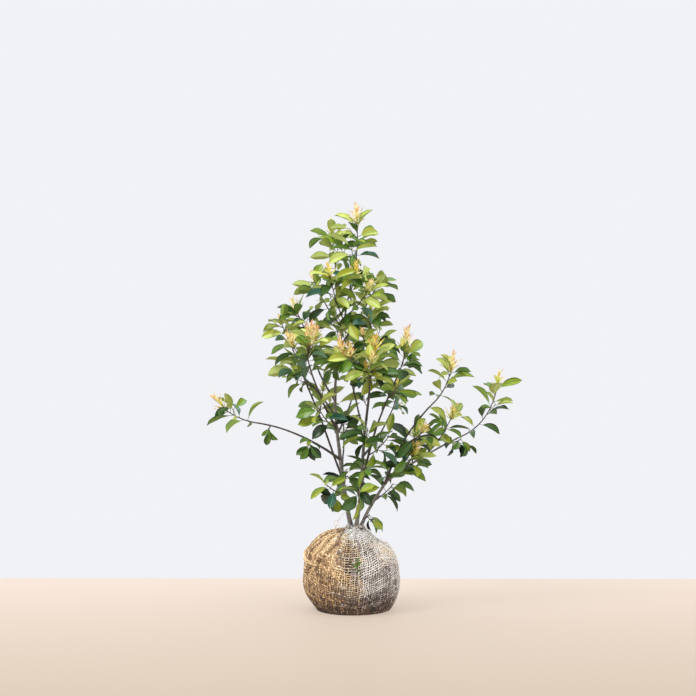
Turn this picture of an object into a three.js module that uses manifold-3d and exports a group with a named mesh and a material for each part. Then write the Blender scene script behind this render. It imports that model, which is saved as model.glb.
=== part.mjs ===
// A young evergreen shrub with several stems, dug up with its root ball, which is wrapped in open
// jute cloth. It is in spring growth: each shoot ends in an upright tuft of narrow young leaves, above
// a loose spiral of older, leathery ones.
// Millimetres, +Z up. The origin is the centre of the root ball's flat underside, +X is the plant's
// right and -Y its front.

import * as THREE from "three";
import { mergeVertices } from "three/addons/utils/BufferGeometryUtils.js";
import Module from "manifold-3d";

const wasm = await Module();
wasm.setup();

// Room between pieces
const touchGap = 0.3; // where one piece meets the next
const jointGap = 0.35; // from a limb's end to the limb or shoot that grows on from it
const leafGap = 0.4; // least room round a leaf
const weld = 1e-3;
const simplifySize = 0.03; // edges shorter than this are closed up

// Root ball
const ballRadius = 153;
const ballGirth = 92; // height of its widest level
const ballDome = 158; // from the widest level up to the top
const ballKeel = 143; // from the widest level down to where the ball would end if it were not flat
const ballFullness = 0.85; // under 1 is squarer than an ellipse
const ballSides = 24;
const ballRows = 9; // from the underside to the collar
const ballDomeEnd = 0.44 * Math.PI; // angle above the widest level where the collar starts
const collarCentre = 12; // the cloth rises round the stems a little to the right of the ball's axis
const collarRim = [30, 261]; // radius and height of the collar's outer edge
const collarLip = [27.5, 260]; // of its inner edge
const stemFloor = [27, 252]; // of the flat top of the ball inside the collar, where the stems start
// The cloth's gathers and the hollows between them: bearing and spread in degrees from +X towards +Y,
// height and spread in mm, and how far they stand out
const lumps = [
  { bearing: 200, spread: 26, height: 172, tall: 24, out: 12 },
  { bearing: 185, spread: 55, height: 214, tall: 40, out: 12 },
  { bearing: 0, spread: 50, height: 226, tall: 16, out: -10 },
  { bearing: 325, spread: 30, height: 172, tall: 34, out: 6 },
  { bearing: 262, spread: 16, height: 205, tall: 40, out: -4 },
  { bearing: 70, spread: 34, height: 120, tall: 50, out: 6 },
  { bearing: 120, spread: 26, height: 190, tall: 30, out: -5 },
  { bearing: 190, spread: 50, height: 4, tall: 44, out: -11 },
];

// Wood
const limbSides = 5;
const twigSides = 3;
const limbCloseness = 1; // how far the flat faces of a limb may leave its bent line
const twigCloseness = 0.45;
const limbEnd = 2.2; // radius at the end of a limb that no other limb grows on from
const flareSize = 0.4; // how much wider a limb is at its foot, as a share of its radius
const flareLength = 22;
const stemSunk = 6; // how far below its flat cut a stem's line starts
const swaySize = 0.0065; // how far a limb strays to either side, as a share of its span
const swayWaves = 8.5; // how often it does, in radians over its length
const uprightShare = 0.2; // a line that leans less than this share of its span counts as upright
const searchSteps = 40; // halvings that find a height on a limb

// Shoots and their side twigs
const shootFoot = 2.3; // radius of a shoot that grows from the side of a limb
const shootEnd = 1.5;
const shootSag = 0.16; // such a shoot leaves its limb low, by this share of its span, and turns up
const shootLead = 0.5; // a shoot from a limb's end first carries on that way, over this share of its span
const twigFoot = 1.6;
const twigEnd = 1.1;
const twigStart = 0.3; // share of the way along its shoot of the first twig
const twigStep = 0.25; // and from one twig to the next
const twigLength = [46, 68];
const twigBend = [0.42, 0.2]; // its middle: shares of its length out from the shoot and along it
const twigTip = [0.62, 0.7]; // and its tip
const twigLeaves = 4;
const twigFirstLeaf = 0.5;
const twigTuft = 0.7; // height of a twig's tuft, as a share of the shoot's

// Leaves
const leafLength = 82;
const leafShortest = 0.84; // share of that length near a shoot's tip
const leafSwell = 0.26; // how much longer the leaves in the middle of a shoot are
const leafSwellSpan = [0.2, 0.9]; // the part of a sine's hump that the lengths follow from tip to foot
const leafWidth = 0.36; // of its length
const leafStations = [0, 0.36, 0.7, 1]; // shares of the length where the blade changes width
const leafKeel = -1.5; // its underside along the middle
const leafEdge = 0.6; // its two edges
const leafOpening = [42, 80]; // angle off the shoot near its tip and at its foot, in degrees
const leafArch = [30, 52]; // how far a leaf bends down from end to end there, in degrees
const leafRoll = [0.3, 1.15]; // least and most that a leaf's face leans to one side, in radians
const leafLevelling = 0.6; // a leaf that would point down does so by this share
const leafHang = [0.6, 1.4]; // least and most share of a drooping shoot's droop
const leafFace = [0.8, 0.5]; // how far leaves face the sky, and how far the tip of their shoot
const leafRoot = 0.4; // how far past the middle of its twig a leaf is sunk
const firstLeaf = 0.12; // share of the way along a shoot, past the limb that carries it
const leafCrowding = 1.2; // over 1 brings the leaves together towards the shoot's tip
const leafTurn = THREE.MathUtils.degToRad(137.5); // from one leaf to the next round the shoot
const leafTries = 9;
const retryTurn = THREE.MathUtils.degToRad(23); // a leaf with no room turns this far and tries again
const retryOpening = THREE.MathUtils.degToRad(4);
const spaceMargin = 92; // how far a shoot's own space goes past its stem
const bladeStart = 0.2; // the blade proper starts this far along the leaf

// How far the seeded numbers move each measure either way
const uneven = { place: 0.06, twig: 0.4, turn: 0.3, opening: 0.22, length: 0.13, width: 0.12, arch: 0.25 };

// Tufts of young leaves
const tuftBud = 11; // thickness of the upright leaves in the middle
const tuftRoot = 3; // how deep the tuft is sunk in its shoot
const tuftLeaves = 4;
const tuftOpening = [0.62, 0.3]; // angle off the upright of the first leaf and the last, in radians
const tuftReach = [0.58, 0.78]; // their lengths, as shares of the tuft's height
const tuftUplift = 0.35; // how far a tuft turns up from the way its shoot points
const tuftLeafWidth = 8;
const tuftLeafThickness = 2.2;

// Limbs: the one that each grows on and the height on it where it starts, unless it grows on from its
// end, or its foot on the root ball; its tip; how far the middle of it stands off the straight line; and
// its radius at its foot, with the radius at its end where another limb grows on from it.
const limbs = {
  stem_main: { foot: [2, 7], tip: [5, 12, 1063], bow: [-51, 10, 0], radius: 7 },
  stem_centre: { foot: [13, -13], tip: [62, -28, 880], bow: [9, -14, 0], radius: 6.5 },
  stem_right: { foot: [24, 5], tip: [119, 30, 408], bow: [-5, 4, 4], radius: 5.5, end: 4.2 },
  stem_third: { on: "stem_centre", at: 384, tip: [145, -72, 738], bow: [-13, -8, 0], radius: 4.2 },
  stem_thin_left: { on: "stem_main", at: 405, tip: [-192, 95, 826], bow: [2, 16, 0], radius: 3.6 },
  bough_left_long: { on: "stem_main", at: 472, tip: [-297, -45, 591], bow: [0, -8, 20], radius: 3.9 },
  bough_left_up: { on: "stem_main", at: 572, tip: [-132, -75, 775], bow: [-6, -14, -4], radius: 3.7 },
  bough_left_mid: { on: "stem_main", at: 604, tip: [-150, 52, 732], bow: [8, 6, 0], radius: 3.2 },
  bough_left_high: { on: "stem_main", at: 660, tip: [-150, 125, 876], bow: [-6, 12, -10], radius: 3.2 },
  bough_top_c: { on: "stem_main", at: 955, tip: [-50, 46, 1068], bow: [-5, 5, -3], radius: 2.7 },
  bough_top_e: { on: "stem_main", at: 836, tip: [50, 44, 972], bow: [-2, 8, -8], radius: 2.9 },
  bough_centre_left: { on: "stem_centre", at: 560, tip: [-3, -112, 738], bow: [0, -8, -6], radius: 3.1 },
  bough_front: { on: "stem_centre", at: 600, tip: [58, -160, 716], bow: [0, -8, -12], radius: 3.1 },
  bough_back_low: { on: "stem_main", at: 432, tip: [-26, 150, 528], bow: [0, 4, -10], radius: 3.3 },
  bough_back_mid: { on: "stem_main", at: 556, tip: [8, 172, 700], bow: [2, 8, -12], radius: 3.3 },
  bough_back_right: { on: "stem_centre", at: 486, tip: [128, 132, 616], bow: [0, 4, -12], radius: 3.3 },
  bough_right_low: { on: "stem_right", tip: [358, 58, 546], bow: [2, 4, 8], radius: 4.1 },
  bough_right_two: { on: "stem_right", at: 394, tip: [258, -62, 654], bow: [-14, -10, 14], radius: 3.8 },
};

// Shoots, each one mass of foliage: the limb that carries it, the height on that limb where it starts
// unless it grows on from its end, the tip of its woody stem, its count of leaves, and the height of
// its tuft. Some have side twigs, a few of them tufted, or a bare foot, leaves that droop, or smaller
// leaves. turn says where round its shoot the lowest leaf stands, in degrees.
const shoots = {
  leader: { on: "stem_main", tip: [18, 14, 1228], leaves: 13, twigs: 1, tuft: 74, turn: 315 },
  leader_front: { on: "stem_main", at: 996, tip: [10, -60, 1052], leaves: 6, tuft: 64, turn: 120 },
  top_a: { on: "stem_main", at: 896, tip: [-119, 70, 1043], bare: 0.45, leaves: 10, tuft: 50, turn: 240 },
  top_b: { on: "stem_main", at: 918, tip: [-66, -92, 1048], bare: 0.4, leaves: 9, tuft: 55, turn: 300 },
  top_c: { on: "bough_top_c", tip: [-64, 66, 1198], leaves: 11, twigs: 1, tuft: 60, turn: 150 },
  top_d: { on: "stem_main", at: 934, tip: [50, -80, 1004], bare: 0.2, leaves: 8, tuft: 50, turn: 315 },
  top_e: { on: "bough_top_e", tip: [83, 62, 1037], leaves: 9, tuft: 54, turn: 255 },
  left_high: { on: "bough_left_high", tip: [-179, 142, 946], leaves: 9, tuft: 66, turn: 60 },
  thin_left: { on: "stem_thin_left", tip: [-230, 112, 910], leaves: 10, tuft: 42, turn: 270 },
  left_up: { on: "bough_left_up", tip: [-134, -90, 830], leaves: 9, twigs: 2, tufted: 2, tuft: 90 },
  left_mid: { on: "bough_left_mid", tip: [-192, 70, 776], leaves: 10, tuft: 38 },
  left_far: { on: "bough_left_long", tip: [-390, -58, 628], leaves: 8, tuft: 78, turn: 345 },
  left_outer: {
    on: "bough_left_long", at: 583, tip: [-262, -62, 568], leaves: 2, droop: 1.2, size: 0.62, turn: 135,
  },
  left_inner: {
    on: "bough_left_long", at: 534, tip: [-134, -46, 522], leaves: 5, droop: 0.9, size: 0.62, turn: 105,
  },
  centre_top: { on: "stem_centre", tip: [62, -34, 938], leaves: 10, tuft: 38 },
  centre_front: {
    on: "stem_centre", at: 735, tip: [72, -108, 796], leaves: 9, twigs: 1, tufted: 1, tuft: 86, turn: 120,
  },
  centre_spur: { on: "stem_centre", at: 800, tip: [38, -90, 862], leaves: 6, tuft: 36 },
  centre_left: {
    on: "bough_centre_left", tip: [-19, -128, 790], leaves: 9, twigs: 2, tufted: 1, tuft: 82, turn: 15,
  },
  third_tip: { on: "stem_third", tip: [168, -82, 812], leaves: 12, tuft: 90, turn: 60 },
  third_side: { on: "stem_third", at: 668, tip: [142, -104, 704], leaves: 7, droop: 0.2, turn: 15 },
  right_two: { on: "bough_right_two", tip: [310, -80, 750], leaves: 9, tuft: 76, turn: 140 },
  right_sub: {
    on: "bough_right_low", at: 480, tip: [314, -38, 602], bare: 0.5, leaves: 8, tuft: 62, turn: 45,
  },
  right_inner: { on: "bough_right_two", at: 530, tip: [216, -118, 560], leaves: 8, tuft: 52 },
  right_golden: { on: "bough_right_low", at: 434, tip: [192, -58, 486], leaves: 7, tuft: 70, turn: 90 },
  right_far: { on: "bough_right_low", tip: [474, 74, 704], leaves: 11, tuft: 62, turn: 0 },
  right_hang: { on: "bough_right_low", at: 526, tip: [352, 22, 538], leaves: 5, droop: 0.9, size: 0.66 },
  mid_left: { on: "stem_main", at: 568, tip: [-104, -58, 640], bare: 0.2, leaves: 9, droop: 0.1, turn: 135 },
  mid_centre: { on: "stem_centre", at: 520, tip: [52, -94, 576], leaves: 10, droop: 0.1 },
  mid_right: { on: "stem_third", at: 490, tip: [118, -86, 552], leaves: 10, droop: 0.1 },
  right_back: { on: "bough_right_low", at: 458, tip: [206, 126, 540], leaves: 8, tuft: 40 },
  low_left: { on: "stem_main", at: 362, tip: [-84, -44, 402], leaves: 9, droop: 0.25, size: 0.85, turn: 180 },
  low_right: { on: "stem_right", at: 345, tip: [136, 66, 392], leaves: 8, droop: 0.3, size: 0.85, turn: 45 },
  low_front: { on: "stem_centre", at: 338, tip: [22, -92, 388], leaves: 9, droop: 0.3, size: 0.9 },
  low_back: { on: "stem_main", at: 384, tip: [-18, 104, 436], leaves: 9, droop: 0.25 },
  foot: { on: "stem_right", at: 286, tip: [58, -14, 300], leaves: 2, droop: 0.9, size: 0.8 },
  back_low: { on: "bough_back_low", tip: [-30, 196, 586], leaves: 9, tuft: 44 },
  back_mid: { on: "bough_back_mid", tip: [14, 214, 774], leaves: 10, tuft: 56 },
  back_high: { on: "stem_main", at: 788, tip: [-12, 128, 876], leaves: 9, tuft: 50 },
  back_right: { on: "bough_back_right", tip: [150, 176, 690], leaves: 10, tuft: 52 },
  front: { on: "bough_front", tip: [64, -190, 772], leaves: 9, tuft: 50 },
  back_left: { on: "stem_thin_left", at: 616, tip: [-96, 156, 690], leaves: 9, tuft: 44 },
};

// Colours and finishes
const barkLook = { color: new THREE.Color(0.42, 0.36, 0.32), roughness: 0.8, metalness: 0 };
const leafLook = { color: new THREE.Color(0.16, 0.3, 0.1), roughness: 0.45, metalness: 0 };
const juteLook = { color: new THREE.Color(0.55, 0.42, 0.28), roughness: 0.95, metalness: 0 };

const sky = new THREE.Vector3(0, 0, 1);
const sideways = new THREE.Vector3(1, 0, 0);
const degrees = THREE.MathUtils.degToRad;
const between = THREE.MathUtils.lerp;

// Numbers from 0 to 1 in an order that the seed fixes.
function seededNumbers(seed) {
  const range = 2 ** 32;
  const spread = 2654435761;
  const factor = 1664525;
  const step = 1013904223;
  let state = Math.imul(seed, spread) >>> 0;
  return () => {
    state = (Math.imul(state, factor) + step) >>> 0;
    return state / range;
  };
}

// A solid from a closed geometry, once the vertices that its faces share are one.
function solidOf(geometry) {
  geometry.deleteAttribute("normal");
  geometry.deleteAttribute("uv");
  const welded = mergeVertices(geometry, weld);
  const mesh = new wasm.Mesh({
    numProp: 3,
    vertProperties: welded.attributes.position.array,
    triVerts: Uint32Array.from(welded.index.array),
  });
  return new wasm.Manifold(mesh);
}

// A named mesh from a solid.
function meshOf(name, solid, look) {
  const { vertProperties, triVerts } = solid.simplify(simplifySize).getMesh();
  const geometry = new THREE.BufferGeometry();
  geometry.setAttribute("position", new THREE.BufferAttribute(vertProperties, 3));
  geometry.setIndex(new THREE.BufferAttribute(triVerts, 1));
  geometry.computeVertexNormals();
  const mesh = new THREE.Mesh(geometry, new THREE.MeshStandardMaterial(look));
  mesh.name = name;
  return mesh;
}

// A closed cylinder bent to shape. place gives the point for a turn round the axis, a rise from 0 to 1
// and a reach of 0 on the axis or 1 on the side.
function bentCylinder(sides, rows, place) {
  const geometry = new THREE.CylinderGeometry(1, 1, 1, sides, rows);
  const positions = geometry.attributes.position;
  for (let i = 0; i < positions.count; i++) {
    const x = positions.getX(i);
    const z = positions.getZ(i);
    const point = place(Math.atan2(z, x), positions.getY(i) + 0.5, Math.round(Math.hypot(x, z)));
    positions.setXYZ(i, point.x, point.y, point.z);
  }
  return solidOf(geometry);
}

// A three-sided ball with pointed ends drawn out into a blade with a keel. place gives the point for a
// share of the length and a side: -1 and 1 are the blade's edges, and 0 is its keel.
function drawnBlade(rows, place) {
  const geometry = new THREE.SphereGeometry(1, 3, rows);
  const positions = geometry.attributes.position;
  const nearly = 1e-6;
  for (let i = 0; i < positions.count; i++) {
    const share = 1 - Math.acos(THREE.MathUtils.clamp(positions.getY(i), -1, 1)) / Math.PI;
    const pointed = share < nearly || share > 1 - nearly;
    const side = pointed ? 0 : -Math.sign(Math.round(4 * positions.getZ(i)));
    const point = place(share, side, pointed);
    positions.setXYZ(i, point.x, point.y, point.z);
  }
  return solidOf(geometry);
}

// The largest single piece of a solid, without the scraps that a cut leaves.
function mainPiece(solid) {
  const pieces = solid.decompose();
  return pieces.reduce((best, piece) => (piece.volume() > best.volume() ? piece : best));
}

// A tapering stem, bough or twig: a bent line with a radius at each share of the way along it. A limb
// also sways from side to side, starting at its phase, and is wider at its foot.
class Wood extends THREE.Curve {
  constructor(start, bend, end, radii, phase) {
    super();
    this.line = new THREE.QuadraticBezierCurve3(start, bend, end);
    this.radii = radii;
    this.phase = phase;
    const chord = end.clone().sub(start);
    this.span = chord.length();
    this.sway = phase === undefined ? 0 : swaySize * this.span;
    this.flare = phase === undefined ? 0 : flareSize;
    const level = new THREE.Vector3().crossVectors(chord, sky);
    const upright = level.length() < uprightShare * this.span;
    this.side = upright ? sideways.clone() : level.normalize();
  }

  getPoint(share) {
    const point = this.line.getPoint(share);
    if (this.sway === 0) return point;
    const swing = Math.sin(Math.PI * share) * Math.sin(swayWaves * share + this.phase);
    return point.addScaledVector(this.side, this.sway * swing);
  }

  // The centre of the section at a share of the way, the line's direction there and two directions
  // square to it.
  section(share) {
    const along = this.getTangent(share);
    const upward = new THREE.Vector3().crossVectors(this.side, along).normalize();
    const across = new THREE.Vector3().crossVectors(along, upward);
    return { centre: this.getPoint(share), along, upward, across };
  }

  radius(share) {
    const flare = this.flare * Math.exp((-share * this.span) / flareLength);
    return between(this.radii[0], this.radii[1], share) * (1 + flare);
  }

  // The share of the way along where a rising limb passes a height.
  shareAt(height) {
    let low = 0;
    let high = 1;
    for (let i = 0; i < searchSteps; i++) {
      const middle = (low + high) / 2;
      if (this.getPoint(middle).z < height) low = middle;
      else high = middle;
    }
    return low;
  }

  // Its solid, larger all round by grow, with rows enough to follow the line as closely as is asked.
  solid(sides, closeness, grow = 0) {
    const { v0, v1, v2 } = this.line;
    const depth = 0.25 * v0.clone().add(v2).addScaledVector(v1, -2).length();
    const swayDepth = (this.sway * swayWaves ** 2) / 8;
    const rows = Math.max(1, Math.ceil(Math.sqrt((depth + swayDepth) / closeness)));
    return bentCylinder(sides, rows, (turn, rise, reach) => {
      const { centre, along, upward, across } = this.section(rise);
      const size = reach * (this.radius(rise) + grow);
      const shift = rise === 0 ? -grow : rise === 1 ? grow : 0;
      return centre
        .addScaledVector(along, shift)
        .addScaledVector(across, size * Math.cos(turn))
        .addScaledVector(upward, size * Math.sin(turn));
    });
  }
}

// The radius and height of the root ball's section at each row, from the underside to the floor
// inside the collar.
function ballRow(row) {
  const lowest = -Math.asin(ballGirth / ballKeel);
  if (row > ballRows) return [collarRim, collarLip, stemFloor][row - ballRows - 1];
  const angle = between(lowest, ballDomeEnd, row / ballRows);
  const height = angle < 0 ? ballKeel : ballDome;
  return [ballRadius * Math.cos(angle) ** ballFullness, ballGirth + height * Math.sin(angle)];
}

// How far the cloth stands out of the ball's round at a bearing and a height.
function lumpAt(bearing, height) {
  const circle = 2 * Math.PI;
  let out = 0;
  for (const lump of lumps) {
    const turn = bearing - degrees(lump.bearing) + Math.PI;
    const off = THREE.MathUtils.euclideanModulo(turn, circle) - Math.PI;
    const level = (height - lump.height) / lump.tall;
    out += lump.out * Math.exp(-((off / degrees(lump.spread)) ** 2) - level ** 2);
  }
  return out;
}

function rootBall() {
  const rows = ballRows + 3;
  return bentCylinder(ballSides, rows, (turn, rise, reach) => {
    const row = Math.round(rise * rows);
    const [radius, height] = ballRow(row);
    const shift = row < ballRows ? 0 : collarCentre;
    const bearing = -turn;
    const size = reach * (radius + (row > ballRows ? 0 : lumpAt(bearing, height)));
    return new THREE.Vector3(shift + size * Math.cos(bearing), size * Math.sin(bearing), height);
  });
}

// The ground inside the collar, which cuts the stems' feet flat.
function groundSlab() {
  const slab = new THREE.BoxGeometry(2 * ballRadius, 2 * ballRadius, stemFloor[1]);
  slab.translate(0, 0, 0.5 * stemFloor[1] + touchGap);
  return solidOf(slab);
}

// The point where something starts on a carrier: on its axis at a height, or just past its end.
function startOn(carrier, height) {
  if (height !== undefined) return carrier.getPoint(carrier.shareAt(height));
  const { centre, along } = carrier.section(1);
  return centre.addScaledVector(along, jointGap);
}

// A limb's line, from its place on the limb that carries it or from just under the ground.
function limbWood(limb, index, woods) {
  const carrier = woods.get(limb.on);
  const underground = stemFloor[1] - stemSunk;
  const start = carrier ? startOn(carrier, limb.at) : new THREE.Vector3(...limb.foot, underground);
  const end = new THREE.Vector3(...limb.tip);
  const middle = start.clone().add(end).multiplyScalar(0.5);
  const bend = middle.addScaledVector(new THREE.Vector3(...limb.bow), 2);
  return new Wood(start, bend, end, [limb.radius, limb.end ?? limbEnd], index);
}

// A shoot's stem: it leaves a limb's side low and turns up, or carries on the way the limb's end points.
function shootWood(shoot, woods) {
  const carrier = woods.get(shoot.on);
  const start = startOn(carrier, shoot.at);
  const end = new THREE.Vector3(...shoot.tip);
  const span = start.distanceTo(end);
  if (shoot.at === undefined) {
    const ahead = start.clone().addScaledVector(carrier.getTangent(1), shootLead * span);
    return new Wood(start, ahead, end, [carrier.radii[1], shootEnd]);
  }
  const low = start.clone().add(end).multiplyScalar(0.5).addScaledVector(sky, -shootSag * span);
  return new Wood(start, low, end, [shootFoot, shootEnd]);
}

// A side twig that leaves a stem at a share of its length and a turn round it, and bends up along it.
function twigWood(stem, share, turn, length) {
  const { centre, along, upward, across } = stem.section(share);
  const outward = across.multiplyScalar(Math.cos(turn)).addScaledVector(upward, Math.sin(turn));
  const [bend, end] = [twigBend, twigTip].map(([out, ahead]) =>
    centre.clone().addScaledVector(outward, out * length).addScaledVector(along, ahead * length),
  );
  return new Wood(centre, bend, end, [twigFoot, twigEnd]);
}

// The seeded plan of a shoot: its stem and side twigs, and the leaves and tuft that each one bears.
function shootPlan(shoot, index, woods) {
  const random = seededNumbers(index + 1);
  const either = (size) => size * (2 * random() - 1);
  const { droop = 0, size = 1, tuft = 0, twigs = 0, tufted = 0, bare = firstLeaf } = shoot;
  const stem = shootWood(shoot, woods);
  const clear = shoot.at === undefined ? 0 : woods.get(shoot.on).radii[0] + shootFoot;
  const parts = [{ wood: stem, count: shoot.leaves, from: bare + clear / stem.span, tuft }];
  const firstTurn = shoot.turn === undefined ? 2 * Math.PI * random() : degrees(shoot.turn);
  for (let i = 0; i < twigs; i++) {
    const share = twigStart + twigStep * i + either(uneven.place);
    const turn = firstTurn + Math.PI + leafTurn * i + either(uneven.twig);
    const wood = twigWood(stem, share, turn, between(...twigLength, random()));
    parts.push({ wood, count: twigLeaves, from: twigFirstLeaf, tuft: i < tufted ? twigTuft * tuft : 0 });
  }
  for (const part of parts) {
    part.leaves = [];
    for (let i = 0; i < part.count; i++) {
      const age = 1 - (i + 0.5) / part.count;
      const swell = leafSwell * Math.sin(Math.PI * between(...leafSwellSpan, age));
      part.leaves.push({
        share: 1 - (1 - part.from) * age ** leafCrowding,
        turn: firstTurn + leafTurn * i + either(uneven.turn),
        opening: degrees(between(...leafOpening, age)) + either(uneven.opening),
        length: size * leafLength * (leafShortest + swell + either(uneven.length)),
        width: (leafWidth / Math.sqrt(size)) * (1 + either(uneven.width)),
        arch: degrees(between(...leafArch, age)) + either(uneven.arch),
        roll: (random() < 0.5 ? -1 : 1) * between(...leafRoll, random()),
        droop: droop * between(...leafHang, random()),
      });
    }
  }
  return parts;
}

// How a leaf stands on its twig. With no room at one try it turns round the twig and opens further.
function leafPose(wood, leaf, attempt) {
  const { centre, along, upward, across } = wood.section(leaf.share);
  const turn = leaf.turn + retryTurn * attempt * (attempt % 2 ? 1 : -1);
  const opening = leaf.opening + retryOpening * attempt;
  const direction = along
    .clone()
    .multiplyScalar(Math.cos(opening))
    .addScaledVector(across, Math.sin(opening) * Math.cos(turn))
    .addScaledVector(upward, Math.sin(opening) * Math.sin(turn));
  if (direction.z < 0) direction.z *= leafLevelling;
  direction.addScaledVector(sky, -leaf.droop).normalize();
  const face = sky.clone().multiplyScalar(leafFace[0]).addScaledVector(along, leafFace[1]);
  face.addScaledVector(direction, -face.dot(direction)).normalize();
  face.applyAxisAngle(direction, leaf.roll);
  const root = centre.addScaledVector(direction, -leafRoot);
  return { root, direction, face, across: new THREE.Vector3().crossVectors(direction, face), leaf };
}

// A point of a leaf: its middle is an arc that bends down.
function leafPoint(pose, share, side, lift) {
  const { length, width, arch } = pose.leaf;
  const bend = arch * share;
  const radius = length / arch;
  return pose.root
    .clone()
    .addScaledVector(pose.direction, (radius + lift) * Math.sin(bend))
    .addScaledVector(pose.face, (radius + lift) * Math.cos(bend) - radius)
    .addScaledVector(pose.across, 0.5 * side * width * length);
}

// A leaf, or the part of it past a start.
function leafSolid(pose, start = 0) {
  const rows = leafStations.length - 1;
  return drawnBlade(rows, (share, side, pointed) => {
    const along = between(start, 1, leafStations[Math.round(rows * share)]);
    const lift = side === 0 ? leafKeel : leafEdge;
    return leafPoint(pose, along, side, pointed ? 0 : lift);
  });
}

// One blade of a tuft, from its root the way it rises, facing the tuft's axis.
function tuftBlade(root, rise, face, length, width, thickness) {
  const edge = new THREE.Vector3().crossVectors(rise, face);
  return drawnBlade(2, (share, side, pointed) => {
    const depth = pointed || side !== 0 ? 0 : -thickness;
    return root
      .clone()
      .addScaledVector(rise, length * share)
      .addScaledVector(edge, 0.5 * width * side)
      .addScaledVector(face, depth);
  });
}

// A tuft of narrow young leaves at a shoot's tip: a slim bud of upright ones, and some that open out
// round it.
function tuftSolids(wood, height) {
  const { centre, along, upward } = wood.section(1);
  const axis = along.clone().addScaledVector(sky, tuftUplift).normalize();
  const across = new THREE.Vector3().crossVectors(axis, upward).normalize();
  const towards = new THREE.Vector3().crossVectors(across, axis);
  const root = centre.clone().addScaledVector(along, -tuftRoot);
  const solids = [tuftBlade(root, axis, towards, height + tuftRoot, tuftBud, tuftBud)];
  for (let i = 0; i < tuftLeaves; i++) {
    const place = i / (tuftLeaves - 1);
    const turn = leafTurn * i;
    const opening = between(...tuftOpening, place);
    const length = height * between(...tuftReach, place) + tuftRoot;
    const outward = across.clone().multiplyScalar(Math.cos(turn)).addScaledVector(towards, Math.sin(turn));
    const rise = axis.clone().multiplyScalar(Math.cos(opening)).addScaledVector(outward, Math.sin(opening));
    const face = axis.clone().multiplyScalar(Math.sin(opening)).addScaledVector(outward, -Math.cos(opening));
    solids.push(tuftBlade(root, rise, face, length, tuftLeafWidth, tuftLeafThickness));
  }
  return solids;
}

// Whether a solid keeps a gap to every solid of a list.
function clearOf(solid, others, gap) {
  const box = solid.boundingBox();
  return others.every((other) => {
    const near = [0, 1, 2].every(
      (axis) => box.min[axis] < other.box.max[axis] + gap && box.max[axis] > other.box.min[axis] - gap,
    );
    return !near || solid.minGap(other.solid, 2 * gap) >= gap;
  });
}

const boxed = (solid) => ({ solid, box: solid.boundingBox() });

const plant = new THREE.Group();
const ball = rootBall();
plant.add(meshOf("root_ball", ball, juteLook));

// Stems and boughs. Each is cut back from the ones before it, so that it meets them a touch clear.
const woods = new Map();
const firm = [boxed(ball)];
let grown = groundSlab();
Object.entries(limbs).forEach(([name, limb], index) => {
  const wood = limbWood(limb, index, woods);
  const solid = mainPiece(wood.solid(limbSides, limbCloseness).subtract(grown));
  grown = grown.add(wood.solid(limbSides, limbCloseness, touchGap));
  woods.set(name, wood);
  firm.push(boxed(solid));
  plant.add(meshOf(name, solid, barkLook));
});

// The shoots' stems, side twigs and tufts come before any leaf, so that leaves grow round them all.
const masses = Object.entries(shoots).map(([name, shoot], index) => {
  const parts = shootPlan(shoot, index, woods);
  const kept = [];
  let solid = null;
  for (const part of parts) {
    const pieces = [part.wood.solid(twigSides, twigCloseness)];
    if (part.tuft > 0) pieces.push(...tuftSolids(part.wood, part.tuft));
    let piece = wasm.Manifold.union(pieces);
    if (part === parts[0]) piece = mainPiece(piece.subtract(grown));
    else if (!clearOf(piece, firm, leafGap)) continue;
    solid = solid ? solid.add(piece) : piece;
    kept.push(part);
  }
  return { name, parts: kept, solid };
});

// Leaves, each one where it keeps clear of the limbs, the other masses and the leaves before it, and
// inside the mass's own space.
for (const mass of masses) {
  const others = [...firm, ...masses.filter((other) => other !== mass).map((other) => boxed(other.solid))];
  const stem = mass.parts[0].wood;
  const space = new THREE.Sphere(stem.getPoint(0.5), 0.5 * stem.span + spaceMargin);
  for (const part of mass.parts) {
    for (const leaf of part.leaves) {
      for (let attempt = 0; attempt < leafTries; attempt++) {
        const pose = leafPose(part.wood, leaf, attempt);
        if (!space.containsPoint(leafPoint(pose, 1, 0, 0))) continue;
        if (!clearOf(leafSolid(pose, bladeStart), [boxed(mass.solid)], leafGap)) continue;
        const solid = leafSolid(pose);
        if (!clearOf(solid, others, leafGap)) continue;
        mass.solid = mass.solid.add(solid);
        break;
      }
    }
  }
  plant.add(meshOf(`leaves_${mass.name}`, mainPiece(mass.solid), leafLook));
}

export default plant;
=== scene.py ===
# The finished surfaces of a young evergreen shrub with several stems, standing on a root ball that is
# wrapped in open jute cloth. Its twigs and leaves grow on from the limbs by the rule that made the
# solids, and go on to finer twigs. Lengths are in millimetres until a mesh is made, which is in metres.

import math
from collections import namedtuple

import bpy
import numpy as np
from mathutils.kdtree import KDTree
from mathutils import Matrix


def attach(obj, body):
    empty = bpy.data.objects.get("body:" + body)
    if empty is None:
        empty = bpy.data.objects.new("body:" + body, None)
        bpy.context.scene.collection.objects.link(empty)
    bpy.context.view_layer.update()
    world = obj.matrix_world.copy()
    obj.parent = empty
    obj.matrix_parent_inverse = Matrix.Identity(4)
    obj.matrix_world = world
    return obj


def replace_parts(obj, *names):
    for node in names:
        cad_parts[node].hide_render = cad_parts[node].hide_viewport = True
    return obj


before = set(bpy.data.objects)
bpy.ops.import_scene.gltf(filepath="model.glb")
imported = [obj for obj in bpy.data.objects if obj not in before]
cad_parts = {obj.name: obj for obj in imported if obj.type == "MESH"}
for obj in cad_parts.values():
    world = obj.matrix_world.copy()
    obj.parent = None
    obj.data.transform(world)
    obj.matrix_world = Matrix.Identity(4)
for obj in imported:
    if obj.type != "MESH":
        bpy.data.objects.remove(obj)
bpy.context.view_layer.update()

MM = 0.001
SKY = np.array([0.0, 0.0, 1.0])
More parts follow.
